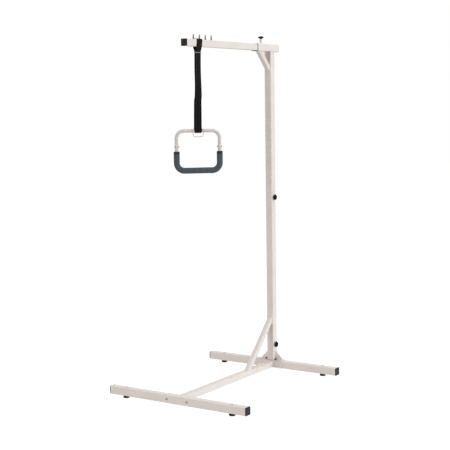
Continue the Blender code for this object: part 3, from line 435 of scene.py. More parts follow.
def join_loops(mesh_data, loops, closed=False):
    """Adds faces between loops of vertices, and over both ends unless the run is closed."""
    pairs = list(zip(loops, loops[1:]))
    if closed:
        pairs.append((loops[-1], loops[0]))
    for lower, upper in pairs:
        for i in range(len(lower)):
            j = (i + 1) % len(lower)
            mesh_data.faces.new((lower[i], lower[j], upper[j], upper[i]))
    if not closed:
        mesh_data.faces.new(loops[0])
        mesh_data.faces.new(loops[-1])


def bridge(mesh_data, rings, closed=False):
    """Adds vertices at rings of points, and joins them."""
    loops = [[mesh_data.verts.new(point) for point in ring] for ring in rings]
    join_loops(mesh_data, loops, closed)


def dress(name, mesh_data, body, slot, node=None, material=None, angle=40):
    """Makes a piece that rides on a body, takes a slot's material and may stand for a node."""
    bmesh.ops.recalc_face_normals(mesh_data, faces=mesh_data.faces)
    mesh = bpy.data.meshes.new(name)
    mesh_data.to_mesh(mesh)
    mesh_data.free()
    mesh.shade_smooth()
    mesh.set_sharp_from_angle(angle=math.radians(angle))
    mesh.materials.append(materials[material or slot])
    item = bpy.data.objects.new(name, mesh)
    bpy.context.collection.objects.link(item)
    if body:
        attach(item, body)
    if node:
        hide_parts(node)
    return item


def node_box(node):
    """Returns the low and high corners of a node of the model."""
    return [Vector(corner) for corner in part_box(node)]


def circle(radius, sides=ROUND_SIDES):
    """Returns a circle as pairs."""
    return [(radius * math.cos(2 * math.pi * i / sides), radius * math.sin(2 * math.pi * i / sides))
            for i in range(sides)]


def hexagon(width):
    """Returns a hexagon by its width across the flats, with as many points as a circle."""
    outline = []
    for i in range(ROUND_SIDES):
        angle = 2 * math.pi * i / ROUND_SIDES
        radius = width / 2 / math.cos((angle + math.pi / 6) % (math.pi / 3) - math.pi / 6)
        outline.append((radius * math.cos(angle), radius * math.sin(angle)))
    return outline


def stack(rows, origin, axis, side_axis):
    """Returns rings along an axis, from rows of an outline and a height."""
    other_axis = axis.cross(side_axis)
    return [[origin + axis * height + side_axis * a + other_axis * b for a, b in outline]
            for outline, height in rows]


def bend_path(width, top, bottom, corner, upper, straight_step):
    """Returns points and directions of a U in the XZ plane, as in the model, with the
    straight stretches cut into short steps."""
    half = width / 2
    sign = 1 if upper else -1
    bar, ends = (top, bottom) if upper else (bottom, top)
    centre_z = bar - sign * corner
    leg = abs(centre_z - ends)
    leg_steps = max(1, round(leg / straight_step))
    bar_steps = max(1, round((width - 2 * corner) / straight_step))
    path = [(Vector((-half, 0, ends + sign * leg * i / leg_steps)), Vector((0, 0, sign)))
            for i in range(leg_steps)]
    for side in (-1, 1):
        centre = Vector((side * (half - corner), 0, centre_z))
        for step in range(BEND_STEPS + 1):
            part = step / BEND_STEPS * math.pi / 2
            angle = part if side < 0 else math.pi / 2 - part
            away = Vector((side * math.cos(angle), 0, sign * math.sin(angle)))
            along = Vector((math.sin(angle), 0, -side * sign * math.cos(angle)))
            path.append((centre + away * corner, along))
        if side < 0:
            start = path[-1][0]
            for i in range(1, bar_steps):
                path.append((start + X_AXIS * (width - 2 * corner) * i / bar_steps, X_AXIS))
    for i in range(leg_steps):
        level = centre_z - sign * leg * (i + 1) / leg_steps
        path.append((Vector((half, 0, level)), Vector((0, 0, -sign))))
    return path


def sweep(path, radius, sides=ROUND_SIDES):
    """Returns circles along a path in the XZ plane."""
    rings = []
    for point, along in path:
        away = along.cross(Y_AXIS)
        rings.append([point + away * a + Y_AXIS * b for a, b in circle(radius, sides)])
    return rings


def path_lengths(points):
    """Returns the length run at each point."""
    lengths = [0.0]
    for first, second in zip(points, points[1:]):
        lengths.append(lengths[-1] + (second - first).length)
    return lengths


# Strap

def width_direction(turn):
    """Returns the strap's width direction for a turn about Z."""
    return Vector((math.cos(turn), math.sin(turn), 0))


def ease(part):
    """Returns a smooth step from 0 to 1, kept within 0 and 1."""
    part = min(1.0, max(0.0, part))
    return part * part * (3 - 2 * part)


def ribbon(run, spread, doubled):
    """Returns a strip of webbing along a run of centre, width direction, facing and
    thickness. Its edges are round and a little thicker, and a vector on each point
    holds its place across and along the strip. Where it is doubled its width changes."""
    mesh_data = bmesh.new()
    layer = mesh_data.verts.layers.float_vector.new("run")
    lanes = 14
    selvedge_bulge = 0.018
    unevenness = 0.00018
    outline = [(-0.5 + i / lanes, 0.5) for i in range(lanes + 1)]
    outline.append((0.5 + selvedge_bulge, 0.0))
    outline += [(0.5 - i / lanes, -0.5) for i in range(lanes + 1)]
    outline.append((-0.5 - selvedge_bulge, 0.0))
    loops = []
    for (centre, across, through, thickness), length in zip(run, path_lengths([row[0] for row in run])):
        width = WEBBING_WIDTH * 0.97 + spread * (thickness - WEBBING) / (doubled - WEBBING)
        loop = []
        for a, b in outline:
            depth = thickness * (0.88 + 0.14 * ease((abs(a) - 0.42) / 0.05))
            if abs(a) >= 0.4999:
                depth *= 0.72
            wave = unevenness * noise.noise(centre * 22.0 + across * (a * 0.6))
            vert = mesh_data.verts.new(centre + across * (a * width) + through * (b * depth + wave))
            vert[layer] = Vector((a * width, length, b))
            loop.append(vert)
        loops.append(loop)
    join_loops(mesh_data, loops)
    return mesh_data


def band_run():
    """The run of the doubled band: down its front, round the handle's tube and up its
    back, from inside the clasp and back into it."""
    top = STRAP_JOIN + CLASP_HEIGHT / 2
    radius = HANDLE_TUBE / 2 + TOUCH + WEBBING / 2
    throat = HANDLE_AXIS + 2.3 * radius
    opening = math.acos(radius / (throat - HANDLE_AXIS)) + math.radians(4)
    front = []
    for step in range(PLY_STEPS + 1):
        level = top + (throat - top) * step / PLY_STEPS
        fall = max(0.0, (STRAP_JOIN - level) / (STRAP_JOIN - throat))
        turned = ease((fall - TURN_START) / (1 - TURN_START))
        across = width_direction(TURN_AT_JOIN + (HANDLE_TURN - TURN_AT_JOIN) * turned)
        ripple = RIPPLE * ease((RIPPLE_TOP - level) / RIPPLE_TOP_FADE)
        ripple *= ease((level - RIPPLE_FOOT) / RIPPLE_FOOT_FADE)
        centre = Vector((0, JOIN_Y + (STRAP_Y - JOIN_Y) * fall, level)) + across * ripple
        front.append((centre, across, Z_AXIS.cross(across)))
    run = [(centre - behind * PLY_SHIFT, across, behind, WEBBING) for centre, across, behind in front]
    across = width_direction(HANDLE_TURN)
    behind = Z_AXIS.cross(across)
    axis_point = Vector((0, STRAP_Y, HANDLE_AXIS))
    for step in range(WRAP_STEPS + 1):
        angle = opening + (2 * math.pi - 2 * opening) * step / WRAP_STEPS
        away = Z_AXIS * math.cos(angle) - behind * math.sin(angle)
        swell = (WRAP_WEBBING - WEBBING) * ease(min(step, WRAP_STEPS - step) / 10)
        run.append((axis_point + away * (radius + swell / 2), across, -away, WEBBING + swell))
    run += [(centre + behind * PLY_SHIFT, across, -behind, WEBBING)
            for centre, across, behind in reversed(front)]
    return run


def loop_half(side, arm_low, arm_high):
    """The run of one leg of the loop, from the clasp up the arm's side and round its
    top corner. The webbing is doubled where it lies on the arm."""
    clear = (arm_high.x - arm_low.x) / 2 + TOUCH
    fork = STRAP_JOIN + CLASP_HEIGHT
    shoulder = arm_low.z + ARM_CORNER
    foot_y = STRAP_Y + (FAR_LEG_SHIFT if side < 0 else NEAR_LEG_SHIFT)
    levels = [STRAP_JOIN + CLASP_HEIGHT / 2]
    levels += [fork + (shoulder - fork) * i / LEG_STEPS for i in range(LEG_STEPS + 1)]
    half = []
    for level in levels:
        part = max(0.0, (level - fork) / (shoulder - fork))
        turned = ease(part / LOOP_TURN_END)
        across = width_direction(TURN_AT_JOIN + (TURN_OVER_ARM - TURN_AT_JOIN) * turned)
        outward = Z_AXIS.cross(across) * -side
        thickness = WEBBING + (LOOP_WEBBING - WEBBING) * ease(1.6 * part)
        opened = 0.6 * part + 0.4 * ease(part)
        spread = LEG_SHIFT + (clear + thickness / 2 - LEG_SHIFT) * opened
        centre = Vector((0, JOIN_Y + (foot_y - JOIN_Y) * opened, level))
        half.append((centre + outward * spread, across, outward * -side, thickness))
    corner = ARM_CORNER + TOUCH + LOOP_WEBBING / 2
    reach = clear + LOOP_WEBBING / 2
    eaves = arm_high.z + TOUCH + LOOP_WEBBING / 2 - corner
    side_steps = 10
    for i in range(1, side_steps):
        y = foot_y + (STRAP_Y - foot_y) * ease(i / (side_steps - 1))
        level = shoulder + (eaves - shoulder) * i / side_steps
        half.append((Vector((side * reach, y, level)), Y_AXIS, -X_AXIS, LOOP_WEBBING))
    centre = Vector((side * (reach - corner), STRAP_Y, eaves))
    corner_steps = 8
    for i in range(corner_steps + 1):
        angle = i / corner_steps * math.pi / 2
        away = Vector((side * math.cos(angle), 0, math.sin(angle)))
        half.append((centre + away * corner, Y_AXIS, away * -side, LOOP_WEBBING))
    return half


def loop_run():
    """The run of the loop over the arm, up its left side and down its right side."""
    arm_low, arm_high = node_box("arm_tube")
    left = loop_half(-1, arm_low, arm_high)
    right = loop_half(1, arm_low, arm_high)
    across_top = []
    top_steps = 8
    for i in range(1, top_steps):
        middle = left[-1][0].lerp(right[-1][0], i / top_steps)
        across_top.append((middle, Y_AXIS, Z_AXIS, LOOP_WEBBING))
    back = [(centre, across, -through, thickness)
            for centre, across, through, thickness in reversed(right)]
    return left + across_top + back


def stitch_line(mesh_data, run, first, last, across):
    """Adds stitches on a strip's face between two lengths of its run, at a place across
    it. Each stitch is a short round thread that dips into the webbing at its ends."""
    lengths = path_lengths([row[0] for row in run])
    spacing = 0.0034
    stitch = 0.0026
    thread_radius = 0.00032
    rings_each = 7
    place = first
    while place + stitch < last:
        rings = []
        for i in range(rings_each):
            part = i / (rings_each - 1)
            target = place + stitch * part
            index = min(max(k for k, length in enumerate(lengths) if length <= target), len(run) - 2)
            share = (target - lengths[index]) / (lengths[index + 1] - lengths[index])
            centre = run[index][0].lerp(run[index + 1][0], share)
            side, facing, thickness = run[index][1:]
            hump = 0.28 * math.sin(math.pi * part) - 0.12
            centre = centre + side * across + facing * (thickness * 0.46 + 0.001 * hump)
            size = thread_radius * (0.45 + 0.55 * math.sin(math.pi * part))
            rings.append([centre + side * a + facing * b for a, b in circle(size, 8)])
        bridge(mesh_data, rings)
        place += spacing


def make_strap():
    """The loop over the arm, the band with its wrap round the handle, and their seams."""
    run = loop_run()
    strip = ribbon(run, LOOP_SPREAD, LOOP_WEBBING)
    loop = dress("webbing_loop", strip, "arm", "black_webbing", "strap_loop")
    run = band_run()
    strip = ribbon(run, WRAP_SPREAD, WRAP_WEBBING)
    band = dress("webbing_band", strip, None, "black_webbing", "strap_band")
    lengths = path_lengths([row[0] for row in run])
    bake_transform(band)
    outward = [(centre, across, -through, thickness) for centre, across, through, thickness in run]
    seams = bmesh.new()
    ply = lengths[PLY_STEPS]
    top_seam = (0.030, 0.062)
    foot_seam = (ply - 0.046, ply - 0.008)
    for first, last in (top_seam, foot_seam):
        for across in (-0.0125, -0.0042, 0.0042, 0.0125):
            stitch_line(seams, outward, first, last, across)
            stitch_line(seams, outward, lengths[-1] - last, lengths[-1] - first, across)
    dress("strap_stitches", seams, "strap", "black_webbing", material="black_thread")


# Handle

def make_handle():
    """The upper bow, the foam grip, the wire keeper and the screws."""
    radius = HANDLE_TUBE / 2
    path = bend_path(HANDLE_WIDTH, 0.0, -GRIP_DROP + TOUCH, HANDLE_CORNER,
                     upper=True, straight_step=0.02)
    tube = bmesh.new()
    bridge(tube, sweep(path, radius) + sweep(path, radius - HANDLE_WALL)[::-1], closed=True)
    tube.transform(handle_matrix)
    dress("handle_tube", tube, "handle", "cream_powder_coat", "handle_upper_bow", "handle_powder_coat")
    make_foam()
    make_keeper()
    for side, sign in (("left", -1), ("right", 1)):
        outward = X_AXIS * sign
        seat = Vector((sign * HANDLE_WIDTH / 2, 0, -SCREW_DROP)) + outward * (radius + TOUCH)
        screw = bmesh.new()
        sizes = (SCREW_DIAMETER, SCREW_HEAD, SCREW_HEAD_HEIGHT, SCREW_SOCKET)
        nut = (SCREW_NUT_WIDTH, SCREW_NUT_HEIGHT, THREAD_END / 2)
        bolt_shape(screw, seat, outward, Y_AXIS, sizes, HANDLE_TUBE + 2 * TOUCH, nut)
        screw.transform(handle_matrix)
        dress(f"{side}_joint_screw", screw, "handle", "zinc_plated_steel", f"{side}_handle_screw")


def make_foam():
    """The foam grip: a thick, slightly lumpy tube with ends that round in to the handle's
    tube. A vector on each point holds its place round and along the grip."""
    radius = GRIP_DIAMETER / 2
    bore = HANDLE_TUBE / 2 - HANDLE_WALL
    path = bend_path(HANDLE_WIDTH, -GRIP_DROP, -HANDLE_HEIGHT, HANDLE_CORNER,
                     upper=False, straight_step=0.003)
    lengths = path_lengths([point for point, _ in path])
    total = lengths[-1]
    mesh_data = bmesh.new()
    layer = mesh_data.verts.layers.float_vector.new("run")
    sides = 48
    rounding = 0.0022
    lumps = 0.00022
    grain = 0.00010
    rows = [(0.0, bore)]
    end_steps = 6
    for step in range(end_steps + 1):
        angle = math.pi / 2 * step / end_steps
        rows.append((rounding * (1 - math.cos(angle)), radius - rounding * (1 - math.sin(angle))))
    loops = []

    def add_loop(point, along, size, run_length):
        away = along.cross(Y_AXIS)
        loop = []
        for i, (a, b) in enumerate(circle(size, sides)):
            angle = 2 * math.pi * i / sides
            place = point + away * a + Y_AXIS * b
            swell = lumps * noise.noise(place * 55.0) + grain * noise.noise(place * 170.0)
            if size > bore * 1.2:
                place += (away * math.cos(angle) + Y_AXIS * math.sin(angle)) * (swell - lumps)
            vert = mesh_data.verts.new(place)
            vert[layer] = Vector((angle, min(run_length, total - run_length), size))
            loop.append(vert)
        loops.append(loop)

    first, along_first = path[0]
    for inset, size in rows:
        add_loop(first + along_first * inset, along_first, size, inset)
    for (point, along), length in zip(path, lengths):
        if rounding * 1.2 < length < total - rounding * 1.2:
            add_loop(point, along, radius, length)
    last, along_last = path[-1]
    for inset, size in reversed(rows):
        add_loop(last - along_last * inset, along_last, size, total - inset)
    join_loops(mesh_data, loops)
    mesh_data.transform(handle_matrix)
    item = dress("foam_sleeve", mesh_data, "handle", "slate_foam", "foam_grip")


def make_keeper():
    """The wire keeper in front of the handle's tube, with rounded tips."""
    radius = HANDLE_TUBE / 2
    wire = KEEPER_WIRE / 2
    path = bend_path(KEEPER_WIDTH, radius, -KEEPER_DROP, KEEPER_CORNER,
                     upper=False, straight_step=0.02)
    shift = Vector((0, -(radius + wire + TOUCH), 0))
    keeper = bmesh.new()
    sides = 20
    rings = sweep([(point + shift, along) for point, along in path], wire, sides)
    tip = wire * 0.35
    for end, direction in ((0, 1), (-1, -1)):
        point, along = path[end]
        cap = sweep([(point + shift, along)], wire - tip, sides)[0]
        rings[end] = [place + along * tip * direction for place in rings[end]]
        if end == 0:
            rings.insert(0, cap)
        else:
            rings.append(cap)
    bridge(keeper, rings)
    keeper.transform(handle_matrix)
    dress("keeper_wire", keeper, "handle", "zinc_plated_steel", "strap_keeper", "bright_zinc")


# Knobs, pegs and bolts

def bolt_shape(mesh_data, seat, axis, side_axis, sizes, grip, nut):
    """Adds a bolt with a domed head and a hexagon socket. Its shank runs through the
    grip, and a nut may stand at the far end, with the thread a little past it."""
    diameter, head, height, socket = sizes
    shank = diameter / 2
    rim = 0.0006
    edge = 0.0002
    rows = []
    if nut:
        width, nut_height, end = nut
        nut_foot = -grip - nut_height
        chamfer = nut_height * 0.14
        rows.append((circle(shank * 0.82), nut_foot - end))
        rows.append((circle(shank), nut_foot - end * 0.65))
        rows.append((circle(shank), nut_foot))
        rows.append((circle(width / 2 * 0.94), nut_foot))
        rows.append((hexagon(width), nut_foot + chamfer))
        rows.append((hexagon(width), -grip - chamfer))
        rows.append((circle(width / 2 * 0.94), -grip))
        rows.append((circle(shank), -grip))
    else:
        rows.append((circle(shank * 0.85), -grip))
        rows.append((circle(shank), -grip + shank * 0.2))
    rows.append((circle(shank), 0.0))
    rows.append((circle(head / 2 - edge), 0.0))
    steps = 8
    mouth = socket / 2 * 1.25
    for step in range(steps + 1):
        angle = math.pi / 2 * step / steps
        reach = mouth + (head / 2 - mouth) * math.cos(angle)
        rows.append((circle(reach), rim + (height - rim) * math.sin(angle)))
    rows.append((hexagon(socket), height - edge))
    rows.append((hexagon(socket), height * 0.42))
    bridge(mesh_data, stack(rows, seat, axis, side_axis))


def make_bolts():
    """The bolts of the feet and of the flanges, where the model has theirs."""
    sizes = (BOLT_DIAMETER, BOLT_HEAD, BOLT_HEAD_HEIGHT, BOLT_SOCKET)
    nut = (NUT_WIDTH, NUT_HEIGHT, THREAD_END)
    for place in ("front", "rear"):
        for side in ("left", "right"):
            node = f"{place}_{side}_foot_bolt"
            low, high = node_box(node)
            middle = (low + high) / 2
            seat = Vector((middle.x, middle.y, high.z - BOLT_HEAD_HEIGHT))
            bolt = bmesh.new()
            bolt_shape(bolt, seat, Z_AXIS, X_AXIS, sizes, seat.z - low.z, None)
            dress(f"{place}_{side}_tube_bolt", bolt, "base", "zinc_plated_steel", node, "bright_zinc")
            node = f"{place}_{side}_flange_bolt"
            low, high = node_box(node)
            middle = (low + high) / 2
            seat = Vector((middle.x, low.y + BOLT_HEAD_HEIGHT, middle.z))
            grip = high.y - THREAD_END - NUT_HEIGHT - seat.y
            bolt = bmesh.new()
            bolt_shape(bolt, seat, -Y_AXIS, X_AXIS, sizes, grip, nut)
            plating = "bright_zinc" if place == "rear" else "zinc_plated_steel"
            dress(f"{place}_{side}_plate_bolt", bolt, "base", "zinc_plated_steel", node, plating)


def make_pegs():
    """The four tapered pegs on the arm, each with the weld at its foot."""
    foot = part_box("arm_tube")[1][2] + TOUCH
    base = PEG_DIAMETER / 2
    tip = PEG_TIP_DIAMETER / 2
    weld_flare = ((0.0012, 0.0), (0.0009, 0.0012), (0.0003, 0.0026), (0.0, 0.0042),
                  (-0.0001, PEG_BASE_HEIGHT))
    tip_steps = 6
    tip_span = math.radians(88)
    for number in range(1, 5):
        node = f"strap_peg_{number}"
        low, high = node_box(node)
        middle = (low + high) / 2
        height = high.z - foot
        rows = [(circle(base + flare), rise) for flare, rise in weld_flare]
        rows.append((circle(tip), height - tip))
        for step in range(1, tip_steps + 1):
            angle = tip_span * step / tip_steps
            rows.append((circle(tip * math.cos(angle)), height - tip + tip * math.sin(angle)))
        peg = bmesh.new()
        bridge(peg, stack(rows, Vector((middle.x, middle.y, foot)), Z_AXIS, X_AXIS))
        dress(f"arm_peg_{number}", peg, "arm", "zinc_plated_steel", node, "peg_zinc")


def star_outline(radius, depth, sides):
    """Returns a star with round lobes and wide, softer valleys between them."""
    outline = []
    for i in range(sides):
        angle = 2 * math.pi * i / sides
        wave = 0.5 + 0.5 * math.cos(KNOB_LOBES * angle)
        reach = radius - depth * (1 - wave ** 0.5)
        outline.append((reach * math.cos(angle), reach * math.sin(angle)))
    return outline


def make_knob(name, seat, axis, side_axis):
    """A star knob: a round collar, five thin lobes with soft edges and a raised hub."""
    sides = KNOB_LOBES * 20
    rim = KNOB_DIAMETER / 2
    collar = 0.0068
    crown = 0.0072
    low = 0.0040
    high = 0.0104
    edge = 0.0022
    lobe_depth = 0.0034
    rows = [(circle(STUD_DIAMETER / 2 + TOUCH, sides), 0.0), (circle(collar - 0.0005, sides), 0.0),
            (circle(collar, sides), 0.0005), (circle(collar + 0.0008, sides), 0.0026)]
    rows.append((star_outline(collar + 0.0030, 0.0003, sides), 0.0036))
    edge_steps = 10
    middle = (low + high) / 2
    for step in range(edge_steps + 1):
        angle = math.pi * (step / edge_steps - 0.5)
        inset = edge * (1 - math.cos(angle))
        outline = star_outline(rim - inset, lobe_depth - 0.4 * inset, sides)
        rows.append((outline, middle + (high - low) / 2 * math.sin(angle)))
    rows.append((star_outline(rim - 0.0056, 0.0014, sides), high + 0.0009))
    for widening, drop in ((0.0007, 0.0012), (0.0, 0.0003), (-0.0006, 0.0), (-0.0012, 0.0003)):
        rows.append((circle(crown + widening, sides), KNOB_HEIGHT - drop))
    rows.append((circle(0.0012, sides), KNOB_HEIGHT - 0.0002))
    knob = bmesh.new()
    bridge(knob, stack(rows, seat, axis, side_axis))
    dress(name + "_star", knob, name, "black_knob_plastic", name, angle=50)


def make_knobs():
    """The star knobs of the post and of the arm, at their joints' places."""
    for name in ("lower_knob", "mid_knob", "arm_knob"):
        joint = joints[name + "_turn"]
        axis = Vector(joint["axis"])
        length = INSERT_FLANGE if name != "arm_knob" else BOSS_HEIGHT
        seat = Vector(joint["pos_m"]) + axis * (2 * TOUCH + length)
        make_knob(name, seat, axis, Z_AXIS if abs(axis.x) > 0.5 else X_AXIS)


# Weld beads

def weld(mesh_data, corners, radius=WELD_RADIUS, closed=True):
    """Adds a rippled bead along a line of corners."""
    points = []
    ends = corners[1:] + corners[:1] if closed else corners[1:]
    for start, end in zip(corners, ends):
        steps = max(2, round((end - start).length / (WELD_RIPPLE / 5)))
        points.extend(start.lerp(end, i / steps) for i in range(steps))
    if not closed:
        points.append(corners[-1])
    lengths = path_lengths(points)
    rings = []
    count = len(points)
    for i, point in enumerate(points):
        before = points[i - 1] if closed or i else point
        after = points[(i + 1) % count] if closed or i < count - 1 else point
        along = (after - before).normalized()
        side = along.orthogonal().normalized()
        if rings:
            side = (last_side - along * last_side.dot(along)).normalized()
        last_side = side
        other = along.cross(side)
        ripple = 0.11 * math.sin(2 * math.pi * lengths[i] / WELD_RIPPLE)
        size = radius * (1.0 + ripple + 0.10 * noise.noise(point * 420.0))
        if not closed:
            size *= min(1.0, 0.35 + min(lengths[i], lengths[-1] - lengths[i]) / (2.2 * radius))
        rings.append([point + side * a + other * b for a, b in circle(size, 8)])
    bridge(mesh_data, rings, closed=closed)


def rectangle(low, high, level, axis):
    """Returns the corners of a rectangle on a plane square to an axis, in order."""
    first, second = [i for i in range(3) if i != axis]
    corners = []
    for a, b in ((low, low), (high, low), (high, high), (low, high)):
        corner = Vector()
        corner[first] = a[first]
        corner[second] = b[second]
        corner[axis] = level
        corners.append(corner)
    return corners


def brace_welds(mesh_data, node, foot_level, foot_is_low, face_y):
    """Adds the beads at both ends of a brace at 45 degrees."""
    low, high = node_box(node)
    cut = (high.x - low.x) * math.sqrt(2)
    foot_low = Vector((low.x, low.y, 0))
    foot_high = Vector((high.x, low.y + cut, 0))
    weld(mesh_data, rectangle(foot_low, foot_high, foot_level, 2))
    if foot_is_low:
        face_low, face_high = Vector((low.x, 0, high.z - cut)), Vector((high.x, 0, high.z))
    else:
        face_low, face_high = Vector((low.x, 0, low.z)), Vector((high.x, 0, low.z + cut))
    weld(mesh_data, rectangle(face_low, face_high, face_y, 1))


def make_welds():
    """The beads of the base and of the upper post."""
    post_low, post_high = node_box("lower_post")
    base = bmesh.new()
    tube_low, tube_high = node_box("centre_tube")
    brace_welds(base, "base_brace", tube_high.z, True, post_low.y)
    for level in (tube_low.y, tube_high.y):
        weld(base, rectangle(tube_low, tube_high, level, 1))
    relief = 0.007
    for name, sign in (("left_gusset", -1), ("right_gusset", 1)):
        low, high = node_box(name)
        inner = low.x if sign > 0 else high.x
        outer = high.x if sign > 0 else low.x
        for y in (low.y, high.y):
            upright = [Vector((inner, y, low.z + relief)), Vector((inner, y, high.z))]
            lying = [Vector((inner + relief * sign, y, low.z)), Vector((outer, y, low.z))]
            weld(base, upright, closed=False)
            weld(base, lying, closed=False)
    dress("base_welds", base, "base", "cream_powder_coat", angle=60)
    upper = bmesh.new()
    sleeve_low, sleeve_high = node_box("arm_sleeve")
    brace_welds(upper, "head_brace", sleeve_low.z, False, post_low.y)
    weld(upper, rectangle(post_low, post_high, sleeve_low.z, 2))
    boss_low, boss_high = node_box("clamp_boss")
    middle = (boss_low + boss_high) / 2
    reach = (boss_high.x - boss_low.x) / 2
    ring = [Vector((middle.x + a, middle.y + b, sleeve_high.z)) for a, b in circle(reach, 24)]
    weld(upper, ring, radius=BOSS_WELD_RADIUS)
    dress("head_welds", upper, "upper_post", "cream_powder_coat", angle=60)


def rounded_square(side, corner):
    """Returns the outline of a square with rounded corners, as pairs."""
    reach = side / 2 - corner
    steps = 6
    outline = []
    for quarter in range(4):
        for step in range(steps + 1):
            angle = (quarter + step / steps) * math.pi / 2
            turn = (quarter + 0.5) * math.pi / 2
            outline.append((math.copysign(reach, math.cos(turn)) + corner * math.cos(angle),
                            math.copysign(reach, math.sin(turn)) + corner * math.sin(angle)))
    return outline


def make_lip_and_tongue():
    """A dark plastic lip in the sleeve's mouth, round the arm, and a dark tongue that it carries under the arm."""
    low, high = node_box("arm_sleeve")
    arm_low, arm_high = node_box("arm_tube")
    middle = Vector((0, low.y - TOUCH, (arm_low.z + arm_high.z) / 2))
    inner = rounded_square(arm_high.x - arm_low.x + 2 * TOUCH, ARM_CORNER)
    lid = (arm_high.z - arm_low.z) / 2 + 2 * TOUCH
    outer = [(a, min(b, lid)) for a, b in rounded_square(high.x - low.x - 0.0016, 0.0049)]
    rim = [(a, min(b, lid - TOUCH)) for a, b in rounded_square(high.x - low.x - 0.0022, 0.0046)]
    rows = [(inner, 0.0), (outer, 0.0), (outer, DARK_LIP - 0.0004), (rim, DARK_LIP),
            (inner, DARK_LIP)]
    dark_parts = bmesh.new()
    bridge(dark_parts, stack(rows, middle, -Y_AXIS, X_AXIS), closed=True)
    half = DARK_TONGUE_WIDTH / 2
    top = arm_low.z - TOUCH
    root = low.y - TOUCH - DARK_LIP * 0.5
    profile = [(0.0, 0.0), (DARK_TONGUE, 0.0), (DARK_TONGUE, -0.0008),
               (DARK_TONGUE - 0.003, -DARK_TONGUE_DEPTH), (0.0, -DARK_TONGUE_DEPTH)]
    bridge(dark_parts, [[Vector((x, root - run, top + drop)) for run, drop in profile]
                   for x in (-half, -half + 0.004, half - 0.004, half)])
    dress("arm_glide", dark_parts, "upper_post", "black_cap_plastic")


# The model's own nodes, the floor, the lights and the camera

def paint_nodes():
    """Gives each node of the model its slot's material, and the clasp a duller zinc."""
    slots = {part["node"]: part["material_slot"] for part in frame["record"]["subparts"]}
    slots["strap_clasp"] = "dull_zinc"
    for name, item in frame["nodes"].items():
        for slot in item.material_slots:
            slot.link = "OBJECT"
            slot.material = materials[slots[name]]


def pale_floor():
    """A floor material that glows white to the camera and lights the object as a pale
    floor does, a little darker further out."""
    material = bpy.data.materials.new("pale_floor")
    material.use_nodes = True
    material.node_tree.nodes.clear()
    nodes = Nodes(material.node_tree)
    reach = nodes.add("ShaderNodeVectorMath", {0: nodes.object_place()}, operation="LENGTH")
    tone = nodes.span(reach.outputs["Value"], 0.5, 2.1, 0.78, 0.42)
    lighting = nodes.add("ShaderNodeBsdfDiffuse", {"Color": tone})
    shadow = nodes.add("ShaderNodeBsdfDiffuse", {"Color": (0.22, 0.22, 0.22, 1)})
    glow = nodes.add("ShaderNodeEmission", {"Strength": 0.945})
    shown = nodes.add("ShaderNodeAddShader", {0: shadow.outputs[0], 1: glow.outputs[0]})
    nodes.add("ShaderNodeOutputMaterial", {"Surface": nodes.by_ray(lighting, shown)})
    return material


def make_floor():
    """A plain floor that shows white to the camera and keeps the object's shadow."""
    half_size = 20.0
    floor_drop = 0.0004
    mesh_data = bmesh.new()
    bmesh.ops.create_grid(mesh_data, x_segments=1, y_segments=1, size=half_size)
    mesh = bpy.data.meshes.new("floor")
    mesh_data.to_mesh(mesh)
    mesh_data.free()
    mesh.materials.append(pale_floor())
    floor = bpy.data.objects.new("floor", mesh)
    floor.location.z = -floor_drop
    bpy.context.collection.objects.link(floor)


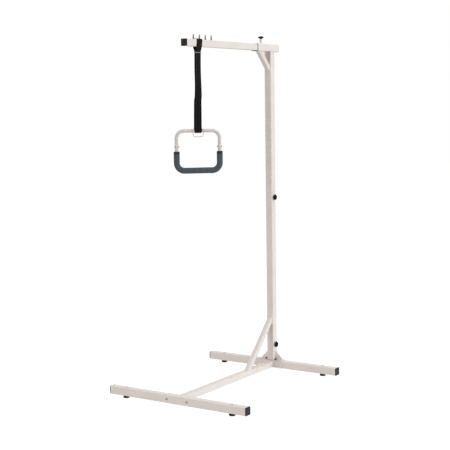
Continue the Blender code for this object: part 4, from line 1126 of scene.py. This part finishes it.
def make_light():
    """A soft key from the right, a fill from the front left, weaker lamps above and
    behind, and an even pale world that the camera sees as white."""
    world = bpy.data.worlds.new("studio")
    world.use_nodes = True
    bpy.context.scene.world = world
    world.node_tree.nodes.clear()
    nodes = Nodes(world.node_tree)
    pale = nodes.add("ShaderNodeBackground", {"Color": (1.0, 0.965, 0.935, 1), "Strength": 0.36})
    white = nodes.add("ShaderNodeBackground", {"Color": (1, 1, 1, 1), "Strength": 1.0})
    nodes.add("ShaderNodeOutputWorld", {"Surface": nodes.by_ray(pale, white)})
    foot = (0, 0, 0)
    middle = (0, 0, 0.9)
    warm_white = (1.0, 0.99, 0.98)
    make_lamp("key", (7.0, 1.2, 2.4), middle, size=3.0, power=281.0, color=(0.968, 1.006, 1.030))
    make_lamp("fill", (-1.0, -8.0, 1.0), foot, size=3.2, power=208.0, color=(1.0, 0.97, 0.94))
    make_lamp("top", (0.4, 0.6, 5.2), foot, size=3.0, power=76.0, color=warm_white)
    make_lamp("back", (-5.6, 5.6, 2.8), middle, size=3.0, power=120.0, color=warm_white)


def make_lamp(name, place, target, size, power, color):
    """A square lamp, aimed at a target, that the camera and reflections don't show."""
    lamp = bpy.data.lights.new(name, "AREA")
    lamp.size = size
    lamp.energy = power
    lamp.color = color
    item = bpy.data.objects.new(name, lamp)
    item.visible_glossy = False
    item.visible_camera = False
    item.location = place
    aim = Vector(target) - item.location
    item.rotation_euler = aim.to_track_quat("-Z", "Y").to_euler()
    bpy.context.collection.objects.link(item)


def make_camera():
    """The camera at the photograph's place."""
    right = Vector((math.cos(CAMERA_AZIMUTH), math.sin(CAMERA_AZIMUTH), 0))
    forward = Vector((-math.sin(CAMERA_AZIMUTH) * math.cos(CAMERA_PITCH),
                      math.cos(CAMERA_AZIMUTH) * math.cos(CAMERA_PITCH), -math.sin(CAMERA_PITCH)))
    up = right.cross(forward)
    tilted_right = right * math.cos(CAMERA_ROLL) + up * math.sin(CAMERA_ROLL)
    tilted_up = up * math.cos(CAMERA_ROLL) - right * math.sin(CAMERA_ROLL)
    data = bpy.data.cameras.new("camera")
    data.sensor_width = SENSOR
    data.lens = FOCAL_PIXELS / IMAGE_SIZE * SENSOR
    camera = bpy.data.objects.new("camera", data)
    camera.matrix_world = Matrix((tilted_right, tilted_up, -forward)).transposed().to_4x4()
    camera.location = CAMERA_PLACE
    bpy.context.collection.objects.link(camera)
    bpy.context.scene.camera = camera


bpy.context.scene.view_settings.view_transform = "Standard"
make_camera()
make_light()
make_floor()
paint_nodes()
make_strap()
make_handle()
make_bolts()
make_pegs()
make_knobs()
make_welds()
make_lip_and_tongue()
